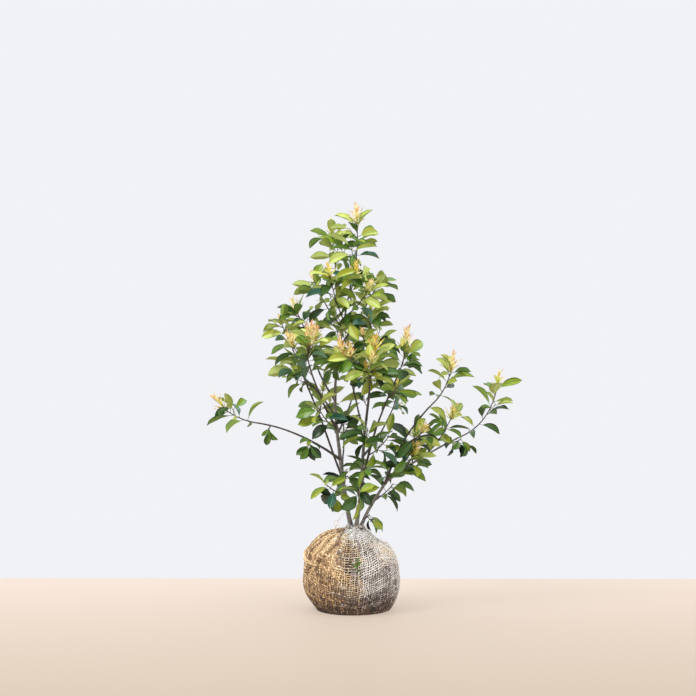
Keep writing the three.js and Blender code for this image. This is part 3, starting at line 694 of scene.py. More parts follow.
def add_young_leaf(build, root, rise, face, length, width, curl, look):
    """A narrow leaf that rises from its root and curls away from its face. look is its first
    material, and unless it is a bract the next two follow towards its tip."""
    across = np.cross(rise, face)
    share, side = YOUNG_ROWS[:, None], YOUNG_COLUMNS[None, :]
    half = 0.5 * width * YOUNG_OUTLINE[:, None]
    lift = 0.45 * half * np.abs(side) - curl * length * share**2
    grids = []
    for depth in (lift, lift - 0.35 * (1 - side**2)):
        parts = (length * share + 0 * side, rise), (depth, face), (half * side, across)
        grids.append(blade_points(root, *parts))
    build.add(np.concatenate(grids), YOUNG_FACES, looks=look + (0 if look == LOOK_BRACT else YOUNG_ZONES))


TUFT_COUNT = 20
TUFT_STEM = 0.5  # the part of a tuft's height where its leaves are borne
TUFT_OPENING = (60, 6)
TUFT_LEAF = (0.56, 0.48)  # their length as a share of the tuft's height, from the lowest to the highest
TUFT_BRACTS = 5
TUFT_COLLAR = 4  # greener leaves round its foot
OTHER_TINT = 0.22  # how often a leaf has the colours of another tint


def add_tuft(leaves, twigs, wood, height, tint, draws):
    """A shoot's new growth: a short stem with narrow leaves that close over its tip, above brown
    bracts and a few greener leaves."""
    centre, along, upward, _ = wood.section(1)
    axis = unit(along + SKY * TUFT_UPLIFT)
    across = unit(np.cross(axis, upward))
    towards = np.cross(across, axis)
    top = centre + axis * (TUFT_STEM * height)
    add_tube(twigs, Wood(centre - along, (centre + top) / 2, top, (SHOOT_END, 0.7)), 6, 4, look=2)

    def add(turn, opening, length, width, curl, look, foot=0.0, out=0.6):
        outward = turned(across, towards, turn)
        face = axis * math.sin(opening) - outward * math.cos(opening)
        root = centre + axis * foot + outward * out
        add_young_leaf(leaves, root, turned(axis, outward, opening), face, length, width, curl, look)

    for i in range(TUFT_BRACTS):
        add(GOLDEN_TURN * i, draws.among(0.5, 0.9), draws.among(6, 10), 3.4, 0.1, LOOK_BRACT, out=0.8)
    for i in range(TUFT_COLLAR):
        turn, opening = GOLDEN_TURN * (i + 0.5) + draws.either(0.5), draws.among(0.75, 1.15)
        length = height * draws.among(0.4, 0.62)
        add(turn, opening, length, 0.2 * length, draws.among(0.05, 0.3), TINT_LOOKS["lime"])
    others = [name for name in TUFT_TINTS if name != tint]
    for i in range(TUFT_COUNT):
        place = i / (TUFT_COUNT - 1)
        turn = GOLDEN_TURN * i + draws.either(0.3)
        opening = math.radians(between(*TUFT_OPENING, place**0.6)) + draws.either(0.2)
        length = height * (between(*TUFT_LEAF, place) + draws.either(0.12))
        width = height * draws.among(0.08, 0.12)
        colour = others[int(draws.next() * len(others))] if draws.next() < OTHER_TINT else tint
        curl = draws.among(-0.08, 0.16)
        add(turn, opening, length, width, curl, TINT_LOOKS[colour], foot=TUFT_STEM * height * place)


OLD_LEAF = 0.55
BLUE_SHEEN_CHANCE = 0.14
PALE_HEIGHTS = (420, 1000)


def leaf_tone(pose, draws):
    """Older leaves and those low on the plant are darker."""
    age, low = pose.leaf.age, 1 - smoothstep(leaf_point(pose, 0.5)[2], *PALE_HEIGHTS)
    value = 0.8 + 1.5 * low + 2.2 * age + 1.5 * pose.leaf.droop + draws.either(between(3.2, 2.3, low))
    # a few old leaves take the blue-green tone, which is partly a painted reflection
    if age > OLD_LEAF and draws.next() < BLUE_SHEEN_CHANCE:
        return BLUE_SHEEN_TONE
    return int(np.clip(round(value), 0, OLDEST_TONE))


# Foliage: the leaves, twigs and tufts of every shoot
FINE_TWIGS = 2
FEW_TWIGS = 1
OPEN_SHOOTS = (
    "mid_left", "mid_centre", "mid_right", "right_two", "right_inner", "right_far", "left_far", "left_outer",
    "left_inner", "right_hang", "foot", "low_left", "low_right", "low_front", "low_back", "third_side",
)
FINE_SPAN = (0.3, 0.9)  # of the stem that bears them
FINE_RADII = (1.3, 0.8)
FINE_LENGTH = (26, 46)
FINE_LEAVES = 3
FINE_START = 0.45
FINE_SIZE = (0.62, 0.85)
FINE_ROOM = 8.0  # least room between the sampled points of a fine leaf and all others
LEAF_SAMPLES = [(0.45, 0), (0.7, 0), (1, 0), (0.55, 0.8), (0.55, -0.8)]
PIECE_TRIANGLES = 150_000

# Spurs: short leafy twigs straight on a limb, with the mass that each one goes with, the height where
# it starts, its turn round the limb and its length
SPURS = [
    ("top_a", "stem_main", 872, 186, 56),
    ("top_b", "stem_main", 906, 150, 60),
    ("top_d", "stem_main", 850, 122, 50),
    ("centre_top", "stem_centre", 806, 30, 60),
    ("centre_top", "stem_centre", 846, 330, 54),
    ("left_mid", "bough_left_mid", 712, 200, 52),
    ("left_up", "bough_left_up", 740, 20, 54),
    ("mid_centre", "stem_centre", 690, 64, 56),
    ("mid_centre", "stem_centre", 640, 120, 56),
    ("low_front", "stem_centre", 430, 60, 54),
    ("low_right", "stem_right", 392, 40, 50),
]
SPUR_RADII = (1.5, 0.9)
SPUR_LEAVES = 5
SPUR_START = 0.3
SPUR_SIZE = (0.85, 1.05)
SPUR_ROOM = 6.0


def samples(pose):
    return np.array([leaf_point(pose, share, side) for share, side in LEAF_SAMPLES])


def node_vertices(name):
    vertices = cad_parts[name].data.vertices
    tree = KDTree(len(vertices))
    for number, vertex in enumerate(vertices):
        tree.insert(vertex.co, number)
    tree.balance()
    return tree


def standing_pose(wood, leaf, tree):
    """The try at which a leaf of the rule found room, or None."""
    for attempt in range(LEAF_TRIES):
        pose = leaf_pose(wood, leaf, attempt)
        if tree.find(leaf_point(pose, 1) * MM)[2] < TIP_MATCH * MM:
            return pose
    return None


def clear_pose(wood, leaf, room, within):
    """The first try at which a leaf keeps its room from all the points taken so far, or None."""
    for attempt in range(LEAF_TRIES):
        pose = leaf_pose(wood, leaf, attempt)
        points = samples(pose)
        if within and np.linalg.norm(points[2] - within[0]) > within[1]:
            continue
        if min(np.linalg.norm(points[:, None] - other[None], axis=2).min() for other in taken) > room:
            taken.append(points)
            return pose
    return None


def grow(mass, wood, plans, room, within=None):
    """Adds a twig to a mass, with those of its leaves that find room. within is a middle and a reach."""
    poses = [pose for pose in (clear_pose(wood, leaf, room, within) for leaf in plans) if pose]
    if poses:
        mass.parts.append(Part(wood))
        mass.poses.extend(poses)


def points_on(wood, shares):
    return np.array([wood.point(share) for share in shares])


masses = {}
taken = []
for number, (name, shoot) in enumerate(SHOOTS.items()):
    tree = node_vertices(f"leaves_{name}")
    mass = masses[name] = Mass(shoot, [], [], Draws(1000 + number))
    for part in shoot_plan(shoot, number, WOODS):
        poses = [pose for pose in (standing_pose(part.wood, leaf, tree) for leaf in part.leaves) if pose]
        if poses or not mass.parts:
            mass.parts.append(part)
        mass.poses.extend(poses)
        taken += [samples(pose) for pose in poses]
taken += [points_on(wood, np.linspace(0, 1, int(wood.span / 12) + 2)) for wood in WOODS.values()]
taken += [points_on(mass.parts[0].wood, np.linspace(0.2, 1.3, 8)) for mass in masses.values()]

for name, mass in masses.items():
    draws, shoot, stem = mass.draws, mass.shoot, mass.parts[0].wood
    count = FEW_TWIGS if name in OPEN_SHOOTS else FINE_TWIGS
    within = stem.point(0.5), 0.5 * stem.span + SPACE_MARGIN
    first_turn = draws.turn()
    for i in range(count):
        share = between(*FINE_SPAN, (i + draws.next()) / count)
        twig = twig_wood(stem, share, first_turn + GOLDEN_TURN * i, draws.among(*FINE_LENGTH), FINE_RADII)
        size = shoot.size * draws.among(*FINE_SIZE)
        plans = leaf_plans(draws, FINE_LEAVES, FINE_START, first_turn, size, shoot.droop)
        grow(mass, twig, plans, FINE_ROOM, within)
for number, (mass_name, limb_name, height, turn, length) in enumerate(SPURS):
    draws, limb = Draws(2000 + number), WOODS[limb_name]
    spur = twig_wood(limb, limb.share_at(height), math.radians(turn), length, SPUR_RADII)
    plans = leaf_plans(draws, SPUR_LEAVES, SPUR_START, draws.turn(), draws.among(*SPUR_SIZE))
    grow(masses[mass_name], spur, plans, SPUR_ROOM)

twigs, young = Build(), Build()
groups = [(Build(), [])]
for name, mass in masses.items():
    for number, part in enumerate(mass.parts):
        add_tube(twigs, part.wood, 7, 4, look=min(number, 1), sunk=1.5)
        if part.tuft > 0:
            add_tuft(young, twigs, part.wood, part.tuft, mass.shoot.tint, mass.draws)
    if groups[-1][0].triangles > PIECE_TRIANGLES:
        groups.append((Build(), []))
    leaves, names = groups[-1]
    for pose in mass.poses:
        add_leaf(leaves, pose, leaf_tone(pose, mass.draws), mass.draws)
    names.append(f"leaves_{name}")
for number, (leaves, names) in enumerate(groups):
    piece = leaves.piece(f"mature_leaves_{number + 1}", LEAF_MATERIALS, "foliage")
    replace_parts(piece, *names)
twigs.piece("twigs", TWIG_MATERIALS, "bark")
young.piece("young_leaves", TUFT_MATERIALS, "foliage")

# Root ball: the surface that the cloth follows
BALL_RADIUS = 153.0
BALL_GIRTH = 92.0
BALL_MIDDLE = np.array([0, 0, BALL_GIRTH])
BALL_DOME = 158.0
BALL_KEEL = 143.0
BALL_FULLNESS = 0.85
BALL_ROWS = 9
BALL_LOWEST = -math.asin(BALL_GIRTH / BALL_KEEL)
BALL_DOME_END = 0.44 * math.pi
COLLAR_CENTRE = 12.0
COLLAR_RIM = (30.0, 261.0)
CLOTH_LOWEST = 0.4
LUMPS = [  # bearing and spread round the ball, height and spread up it, and height out
    (200, 26, 172, 24, 12),
    (185, 55, 214, 40, 12),
    (0, 50, 226, 16, -10),
    (325, 30, 172, 34, 6),
    (262, 16, 205, 40, -4),
    (70, 34, 120, 50, 6),
    (120, 26, 190, 30, -5),
    (190, 50, 4, 44, -11),
]


def ball_profile():
    """The ball's section from the edge of its underside to the collar's rim: the distance along it,
    its radius, height, sideways shift, how much the lumps count, and the way it faces."""
    angles = np.linspace(BALL_LOWEST, BALL_DOME_END, 200)
    height = np.where(angles < 0, BALL_KEEL, BALL_DOME)
    radius = BALL_RADIUS * np.cos(angles) ** BALL_FULLNESS
    level = BALL_GIRTH + height * np.sin(angles)
    rise = np.linspace(0, 1, 21)[1:]
    radius = np.append(radius, between(radius[-1], COLLAR_RIM[0], rise**0.6))
    level = np.append(level, between(level[-1], COLLAR_RIM[1], rise))
    rows = np.append(np.linspace(0, BALL_ROWS, 200), BALL_ROWS + rise)
    shift = COLLAR_CENTRE * smoothstep(rows, BALL_ROWS - 1.0, BALL_ROWS)
    weight = 1 - smoothstep(rows, BALL_ROWS, BALL_ROWS + 1.0)
    arc = np.append(0, np.cumsum(np.hypot(np.diff(radius), np.diff(level))))
    slope_r, slope_z = np.gradient(radius, arc), np.gradient(level, arc)
    size = np.hypot(slope_r, slope_z)
    return arc, radius, level, shift, weight, slope_z / size, -slope_r / size


PROFILE = ball_profile()
CLOTH_LENGTH = PROFILE[0][-1]


def arc_at(height):
    """The distance up the cloth at a height."""
    return np.interp(height, PROFILE[2], PROFILE[0])


# The knot that gathers the cloth on the left, and the folds that run to it
KNOT_BEARING = math.radians(205)
KNOT_HEIGHT = 160.0
KNOT_ARC = arc_at(KNOT_HEIGHT)
KNOT_RADIUS = 138.0  # of the ball at the knot
KNOT_PULL = 0.2
KNOT_PULL_REACH = 46.0
FOLDS = 12
FOLD_HEIGHT = 2.6
FOLD_REACH = (44.0, 112.0)  # away from the collar and towards it
FOLD_TOWARDS = math.radians(68)
PLEATS = 17
PLEAT_HEIGHT = 2.2
# Creases from the collar down to the knot: bearing and height of each end
CREASES = ((226, 240, 218, 166), (243, 232, 221, 162), (208, 158, 196, 128))
CREASE_HEIGHT = 5.5
CREASE_WIDTH = 7.0
CREASE_VALLEY = 0.7  # of that height, beside it

# The open split down the front, where the cloth's edges meet
SPLIT_BEARING = math.radians(265.5)
SPLIT_HALF = math.radians(1.1)
SPLIT_REACH = math.radians(7)
SPLIT_HEIGHTS = (104.0, 236.0)
SPLIT_ARCS = arc_at(SPLIT_HEIGHTS)


def turn_from(bearing, middle):
    return (bearing - middle + np.pi) % (2 * np.pi) - np.pi


def cloth_folds(bearing, level):
    """How far the cloth stands out at its folds: those that run to the knot, and the collar's pleats."""
    near, up = KNOT_RADIUS * turn_from(bearing, KNOT_BEARING), level - KNOT_HEIGHT
    distance, angle = np.hypot(near, up), np.arctan2(up, near)
    reach = between(*FOLD_REACH, np.clip(np.cos(angle - FOLD_TOWARDS), 0, 1) ** 2)
    fade = bell(distance / reach) * (1 - bell(distance / 11))
    folds = FOLD_HEIGHT * np.cos(FOLDS * angle + distance / 30) * fade
    for first_bearing, first_height, last_bearing, last_height in CREASES:
        last = math.radians(last_bearing)
        across, up = KNOT_RADIUS * turn_from(bearing, last), level - last_height
        way = np.array([KNOT_RADIUS * (math.radians(first_bearing) - last), first_height - last_height])
        share = (across * way[0] + up * way[1]) / way.dot(way)
        here = window(share, -0.15, 0.1, 0.85, 1.1)
        off = (across * way[1] - up * way[0]) / np.hypot(*way) / CREASE_WIDTH
        ridge = bell(off) - CREASE_VALLEY * bell(off - 1.8)
        folds = folds + CREASE_HEIGHT * here * ridge
    pleat = np.cos(PLEATS * bearing + 1.3 * np.sin(3 * bearing) + level / 19)
    return folds + PLEAT_HEIGHT * smoothstep(level, 190, 246) * pleat


def cloth_relief(bearing, level):
    """How far the cloth stands out of the ball's round."""
    out = cloth_folds(bearing, level) * smoothstep(level, -1, 40)
    for middle, spread, height, tall, size in LUMPS:
        off = turn_from(bearing, math.radians(middle)) / math.radians(spread)
        out = out + size * np.exp(-(off**2) - ((level - height) / tall) ** 2)
    return out


def cloth_point(bearing, arc, out):
    """Points at a bearing, a distance up the cloth from the underside and a height out from it."""
    distances, *values = PROFILE
    arc = np.clip(arc, 0, CLOTH_LENGTH)
    radius, level, shift, weight, face_r, face_z = (np.interp(arc, distances, value) for value in values)
    stand = out + cloth_relief(bearing, level) * weight
    reach = radius + stand * face_r
    height = np.maximum(level + stand * face_z, CLOTH_LOWEST)
    return np.stack([shift + reach * np.cos(bearing), reach * np.sin(bearing), height], -1)


# The weave
WARPS = 130
PITCH = 7.0
WEFTS = int(CLOTH_LENGTH / PITCH)
THREAD_THICKNESS = 1.4
WEAVE_HEIGHT = 0.85
SAG = 34.0  # the rows of threads hang this much lower at front and back than at the sides
# Four tones of each hue, from pale to dark, and white
JUTE_TONES = {
    "tan": ((240, 212, 168), (208, 174, 128), (168, 132, 92), (118, 90, 62)),
    "sand": ((238, 222, 198), (204, 182, 154), (158, 136, 112), (112, 92, 76)),
    "grey": ((240, 234, 228), (202, 192, 184), (148, 134, 128), (98, 86, 82)),
    "damp": ((176, 150, 124), (122, 96, 76), (84, 66, 54), (58, 45, 38)),
}
LOOK_TAN, LOOK_SAND, LOOK_GREY, LOOK_DAMP, LOOK_WHITE = range(0, 17, 4)
JUTE = dict(roughness=0.9, scale=2200, strength=0.9, sheen=0.15)
JUTE_MATERIALS = [
    plain_material(f"jute_{hue}{level}", colour, **JUTE)
    for hue, colours in JUTE_TONES.items()
    for level, colour in zip(("_pale", "", "_deep", "_dark"), colours)
]
JUTE_MATERIALS.append(plain_material("jute_white", (244, 240, 236), **JUTE))


def ripple(a, b, seed, waves=(1, 9), rise=(0.05, 0.5)):
    """A smooth field from about -1 to 1, where a counts round the ball and b up it."""
    draws = Draws(seed)
    total = 0
    for _ in range(7):
        wave_a, wave_b = round(draws.among(*waves)), draws.among(*rise)
        total = total + np.sin(2 * np.pi * wave_a * a / WARPS + wave_b * b + draws.turn())
    return total / 3.5


def strayed(place, warp, weft, wide_seed, narrow_seed):
    """A thread's place with the cloth's wide and narrow pulls."""
    narrow = ripple(warp, weft, narrow_seed, (9, 30), (0.2, 1.1))
    return place + 0.5 * ripple(warp, weft, wide_seed) + 0.3 * narrow


def cloth_place(warp, weft):
    """Bearing and distance up the cloth of a point of the weave."""
    bearing = 2 * np.pi * strayed(warp, warp, weft, 31, 8) / WARPS
    arc = PITCH * strayed(weft, warp, weft, 57, 73)
    arc = arc + SAG * np.cos(2 * bearing) * np.sin(np.pi * np.clip(weft / WEFTS, 0, 1))
    near, up = KNOT_RADIUS * turn_from(bearing, KNOT_BEARING), arc - KNOT_ARC
    pull = KNOT_PULL * bell(np.hypot(near, up) / KNOT_PULL_REACH)
    bearing, arc = bearing - pull * near / KNOT_RADIUS, arc - pull * up
    off = turn_from(bearing, SPLIT_BEARING)
    low, high = SPLIT_ARCS
    open_here = window(arc, low, low + 30, high - 14, high)
    return bearing + np.sign(off) * SPLIT_HALF * open_here * bell(off / SPLIT_REACH), arc


def jute_tone(points, noise):
    """The material of each bit of thread: warm on the left, greyer on the right, dark and damp below, and
    pale round the collar, with painted light on the folds: paler where a fold stands out, darker in the
    valley beside it."""
    x, y, z = points.T
    bearing = np.arctan2(y, x)
    patch = ripple(bearing * WARPS / (2 * np.pi), z / PITCH, 91, (2, 12), (0.1, 0.7))
    grey = x + 46 * noise[:, 1] + 16 * patch
    collar = smoothstep(z, 214, 244) * smoothstep(x, -34, 0)
    hue = np.where(grey + 60 * collar > 26, LOOK_GREY, np.where(grey > -34, LOOK_SAND, LOOK_TAN))
    left, drawn = smoothstep(-x, -30, 50), gathered(bearing, z)
    deep = 0.4 + between(0.4, 0.44, left * (1 - drawn)) * noise[:, 2] + 0.1 * patch
    # painted light and shade: the folds make the threads paler on their crests and darker in their valleys
    deep = deep - 0.06 * cloth_folds(bearing, z) - 0.55 * collar - 0.0012 * (z - 140) + 0.15 * drawn
    front = bell((x + 8) / 34) * window(z, 90, 190, 205, 225)
    pale = window(x, 10, 30, 92, 110) * window(z, 56, 84, 150, 190)
    deep = deep + 0.22 * front - 0.16 * smoothstep(x, 104, 130) - 0.2 * pale
    damp = z + 40 * noise[:, 0] + 14 * patch < 30
    deep = deep + np.where(damp, 0.0, 0.16 * (1 - smoothstep(z, 30, 110)))
    look = np.where(damp, LOOK_DAMP, hue) + np.clip(np.floor(4 * deep), 0, 3).astype(int)
    return np.where((collar > 0.5) & (noise[:, 1] > -0.1), LOOK_WHITE, look)


def flap_tone(points, noise):
    """Bleached threads, greyer in patches."""
    x, y, z = points.T
    patch = ripple(np.arctan2(y, x) * WARPS / (2 * np.pi), z / PITCH, 17, (6, 24), (0.3, 1.4))
    step = np.digitize(0.5 + 0.24 * noise[:, 2] + 0.34 * patch, [0.34, 0.6, 0.84])
    return np.array([LOOK_WHITE, LOOK_SAND, LOOK_GREY, LOOK_GREY + 1])[step]


def sideways(lines):
    """The directions out of the ball and across, at each point of some lines."""
    along = np.gradient(lines, axis=-2)
    along /= np.linalg.norm(along, axis=-1, keepdims=True)
    outward = lines - BALL_MIDDLE
    outward = outward - along * (outward * along).sum(-1, keepdims=True)
    outward /= np.linalg.norm(outward, axis=-1, keepdims=True)
    return outward, np.cross(along, outward)


def add_threads(build, lines, widths, noise, thickness=THREAD_THICKNESS, tone=jute_tone):
    """Flat threads with four sides. lines is threads by points by 3, widths threads by points."""
    count, rows = lines.shape[:2]
    outward, across = sideways(lines)
    right, front = across * widths[..., None] / 2, outward * thickness / 2
    points = np.stack([lines + right, lines + front, lines - right, lines - front], axis=2)
    points[..., 2] = np.maximum(points[..., 2], 0.1)
    ends = [[3, 2, 1, 0]], 4 * (rows - 1) + np.array([[0, 1, 2, 3]])
    quads = np.concatenate([grid_faces(rows, 4, closed=True), *ends])
    faces = (quads[None] + 4 * rows * np.arange(count)[:, None, None]).reshape(-1, 4)
    middles = (lines[:, 1:] + lines[:, :-1]) / 2
    tones = tone(middles.reshape(-1, 3), noise.reshape(-1, 3)).reshape(count, rows - 1)
    looks = np.concatenate([np.repeat(tones, 4, axis=1), tones[:, :1], tones[:, -1:]], axis=1)
    build.add(points.reshape(-1, 3), faces, looks=looks.ravel())


rng = np.random.default_rng(7)


def thread_noise(lines):
    """Three random numbers from -1 to 1 for each bit of thread, in runs of a few bits, and partly the
    same along a whole thread."""
    count, rows = lines.shape[:2]
    whole = rng.uniform(-1, 1, (count, 1, 3))
    runs = np.repeat(rng.uniform(-1, 1, (count, (rows + 2) // 3, 3)), 3, axis=1)[:, : rows - 1]
    return 0.5 * whole + 0.6 * runs


def waver(count, rows, size):
    """How far each thread strays to either side along its way."""
    knots = rng.normal(0, size, (count, 9))
    place = np.linspace(0, 8, rows)
    first = np.minimum(place.astype(int), 7)
    share = smoothstep(place - first, 0, 1)
    return knots[:, first] * (1 - share) + knots[:, first + 1] * share


def gathered(bearing, level):
    """From 0 to 1 towards the upper left, where the cloth is drawn together."""
    return smoothstep(-np.cos(bearing), 0.1, 0.5) * smoothstep(level, 115, 155)


def open_share(bearing, level):
    """How much of the room between threads they fill: the cloth is tighter on its left, and closed
    where it is gathered there."""
    left = smoothstep(-np.cos(bearing), -0.1, 0.5)
    return between(0.5, 0.62, left) + 0.5 * gathered(bearing, level)


def thread_widths(lines, bearing):
    """Widths that leave the weave open, whatever room its pulls give."""
    room = np.linalg.norm(np.diff(lines, axis=0), axis=2)
    room = np.concatenate([room, room[-1:]])
    uneven = rng.uniform(0.8, 1.2, (len(lines), 1))
    room = np.minimum(room, PITCH * (1 + 0.5 * gathered(bearing, lines[..., 2])))
    return np.clip(room * open_share(bearing, lines[..., 2]) * uneven, 0.9, 10.0)


def add_weave(build, threads, length, upright):
    """The threads that run up the ball, or those that run round it and meet their own ends."""
    place, run = np.meshgrid(threads.astype(float), np.arange(0, length + 0.01, 0.5), indexing="ij")
    stray = waver(*place.shape, 0.1)
    if upright:
        bearing, arc = cloth_place(place + stray, run)
    else:
        stray[:, -1] = stray[:, 0]
        bearing, arc = cloth_place(run, place + stray)
    over = (WEAVE_HEIGHT if upright else -WEAVE_HEIGHT) * np.cos(np.pi * (place + run))
    lines = cloth_point(bearing, arc, over + 0.5)
    add_threads(build, lines, thread_widths(lines, bearing), thread_noise(lines))


upright_threads, round_threads, loose_fibres = Build(), Build(), Build()
add_weave(upright_threads, np.arange(WARPS), WEFTS, upright=True)
add_weave(round_threads, np.arange(1, WEFTS), WARPS, upright=False)

# A bleached flap of the cloth that lies over its right shoulder, frayed all round
FLAP_TURNS = (math.radians(-55), math.radians(-8))
FLAP_ARCS = arc_at((150.0, 222.0))
FLAP_LIFT = 3.4
FLAP_PITCH = 4.4
FLAP_THREAD = 3.0
FLAP_FRAY = 15.0
FLAP_ROWS = 34


def flap_outline(share):
    """How far the flap's edge draws in at a share of the way along a side."""
    return 14 * np.sin(np.pi * share * 2.3 + 0.6) ** 2


def add_flap(build):
    across, up = KNOT_RADIUS * (FLAP_TURNS[1] - FLAP_TURNS[0]), FLAP_ARCS[1] - FLAP_ARCS[0]
    for upright, (run, width) in enumerate(((across, up), (up, across))):
        count = int(width / FLAP_PITCH)
        place = np.linspace(0, 1, count)[:, None]
        start = flap_outline(place) + FLAP_FRAY * rng.random((count, 1)) ** 2
        end = run - flap_outline(1 - place) - FLAP_FRAY * rng.random((count, 1)) ** 2
        along = between(start, end, np.linspace(0, 1, FLAP_ROWS))
        side = place * width + waver(count, FLAP_ROWS, 0.7)
        right, above = (side, along) if upright else (along, side)
        crease = 2.4 * np.sin(right / 11 + above / 16) + 1.2 * np.sin(right / 5 - above / 9)
        fray = 2.6 * np.exp(-np.minimum(along - start, end - along) / 4)
        over = WEAVE_HEIGHT * (1 - 2 * upright) * np.cos(np.pi * (right + above) / FLAP_PITCH)
        lift = FLAP_LIFT + np.maximum(crease, -1) + over + fray
        lines = cloth_point(FLAP_TURNS[0] + right / KNOT_RADIUS, FLAP_ARCS[0] + above, lift)
        widths = np.full(lines.shape[:2], FLAP_THREAD) * rng.uniform(0.6, 1.2, (count, 1))
        add_threads(build, lines, widths, thread_noise(lines), tone=flap_tone)


# Rolls of gathered cloth, by radius and twist, each along a way of bearings, heights and heights out:
# the knot, which is twisted, and the long folds that run down to it from the collar
HANKS = [
    (5.5, 0.8, ((224, 150, 0), (214, 152, 3), (203, 158, 4), (194, 170, 4), (188, 190, 0))),
    (5.0, 0.3, ((227, 242, 0), (225, 214, 3), (222, 190, 4), (218, 162, 2), (213, 148, 0))),
    (3.6, -0.3, ((238, 238, 0), (234, 222, 1), (228, 200, 2), (222, 172, 0))),
    (2.6, 0.2, ((222, 150, 0), (216, 136, 2), (213, 118, 1), (212, 98, 0))),
]
HANK_STRANDS = 30
HANK_ROWS = 30
HANK_FLATNESS = 0.8


def hank_tone(points, noise):
    """Pale warm threads, a painted highlight along the rolls of gathered cloth."""
    return np.where(noise[:, 2] > 0.0, LOOK_TAN + 1, LOOK_TAN)


def add_hank(build, radius, twist, way):
    bearings, heights, outs = np.array(way, float).T
    share, stations = np.linspace(0, 1, HANK_ROWS), np.linspace(0, 1, len(way))
    line = [np.interp(share, stations, values) for values in (np.radians(bearings), arc_at(heights), outs)]
    middle = cloth_point(*line)
    outward, across = sideways(middle)
    turns = 2 * np.pi * (np.arange(HANK_STRANDS)[:, None] / HANK_STRANDS + twist * share)
    size = radius * (0.35 + 0.65 * np.sin(np.pi * share) ** 0.7) * rng.uniform(0.75, 1.05, (HANK_STRANDS, 1))
    side, out = (size * np.cos(turns))[..., None], (HANK_FLATNESS * size * np.sin(turns))[..., None]
    lines = middle + across * side + outward * out
    widths = np.full(lines.shape[:2], 0.34 * radius)
    add_threads(build, lines, widths, thread_noise(lines), thickness=1.8, tone=hank_tone)


# Threads that stand up round the stems, loose fibres, and long pulled ones
FRINGE = 120
FUZZ = 420
FIBRE = 0.32
FRINGE_LOOKS = (LOOK_SAND, LOOK_SAND + 1, LOOK_GREY, LOOK_GREY + 1)
LONG_FIBRES = [
    ((-52, -26, 246), (-44, -30, 300), (2, -20, 322)),
    ((-46, -30, 248), (-66, -34, 292), (-40, -24, 280)),
    ((-40, -34, 250), (-34, -46, 284), (-50, -30, 262)),
    ((44, -20, 246), (58, -30, 268), (50, -12, 252)),
    ((-96, -84, 196), (-122, -104, 214), (-116, -92, 188)),
    ((92, -96, 190), (112, -122, 206), (124, -88, 178)),
]


def add_loose_fibres(build):
    middle = np.array([COLLAR_CENTRE, 0, 0])
    for i in range(FRINGE):
        turn = 2 * np.pi * (i + rng.uniform(-0.5, 0.5)) / FRINGE
        outward = np.array([math.cos(turn), math.sin(turn), 0])
        start = middle + outward * rng.uniform(27.5, 31) + SKY * rng.uniform(256, 260)
        end = middle + outward * rng.uniform(15, 30) + SKY * rng.uniform(260, 270)
        bend = (start + end) / 2 + outward * rng.uniform(0, 4) + SKY * rng.uniform(1, 4)
        look = LOOK_WHITE if rng.random() < 0.6 else rng.choice(FRINGE_LOOKS)
        add_tube(build, Wood(start, bend, end, (rng.uniform(0.7, 1.2), 0.4)), 4, 3, look=int(look))
    for i in range(FUZZ):
        bearing, arc = rng.uniform(0, 2 * np.pi), rng.uniform(20, CLOTH_LENGTH - 4)
        start = cloth_point(bearing, arc, 0.6)
        outward = unit(start - BALL_MIDDLE)
        aside = unit(np.cross(outward, rng.normal(0, 1, 3)))
        length = rng.uniform(5, 17)
        bend = start + outward * (0.4 * length) + aside * (0.3 * length)
        end = start + outward * (rng.uniform(0, 0.4) * length) + aside * length
        look = rng.choice([LOOK_TAN, LOOK_SAND, LOOK_GREY, LOOK_WHITE])
        if min(bend[2], end[2]) > 1:
            add_tube(build, Wood(start, bend, end, (FIBRE, 0.6 * FIBRE)), 3, 4, look=int(look))
    for corners in LONG_FIBRES:
        add_tube(build, Wood(*corners, (0.8, 0.5)), 5, 4, look=LOOK_TAN)


add_flap(round_threads)
for hank in HANKS:
    add_hank(upright_threads, *hank)
add_loose_fibres(loose_fibres)
upright_threads.piece("jute_upright_threads", JUTE_MATERIALS, "jute")
round_threads.piece("jute_round_threads", JUTE_MATERIALS, "jute")
loose_fibres.piece("jute_loose_fibres", JUTE_MATERIALS, "jute")

# A sprig that has come up through the cloth at the front
SPRIG_BEARING, SPRIG_HEIGHT = math.radians(277), 127.0
SPRIG_TIP = (3, -8, 40)  # from its root
SPRIG_LEAVES = 5
SPRIG_CLOSING = 0.34  # its leaves stand this much closer to its stem
SPRIG_SIZE = 0.27


def add_sprig():
    root = cloth_point(SPRIG_BEARING, arc_at(SPRIG_HEIGHT), -1.0)
    tip = root + np.array(SPRIG_TIP)
    stem = Wood(root, (root + tip) / 2 - np.array([0, 5, 0]), tip, (1.2, 0.8))
    leaves, draws = Build(), Draws(77)
    add_tube(leaves, stem, 6, 3, look=LOOK_STALK)
    for plan in leaf_plans(draws, SPRIG_LEAVES, 0.1, math.radians(250), SPRIG_SIZE):
        plan = plan._replace(opening=SPRIG_CLOSING * plan.opening)
        add_leaf(leaves, leaf_pose(stem, plan), list(LEAF_TONES).index("mid"), draws)
    leaves.piece("sprig", LEAF_MATERIALS, "foliage")


add_sprig()

# Soil under the cloth
SOIL_DEPTH = 3.4
SOIL_SIDES = 168
SOIL_TOP = ((25.0, 257.0), (22.0, 251.5), (12.0, 251.9))  # radius and height of its rings in the collar
SOIL = mottled_material("soil", (34, 25, 20), (84, 62, 44), (0.3, 0.75), (160, 0.9, 0.003, 8.0), 0.95)


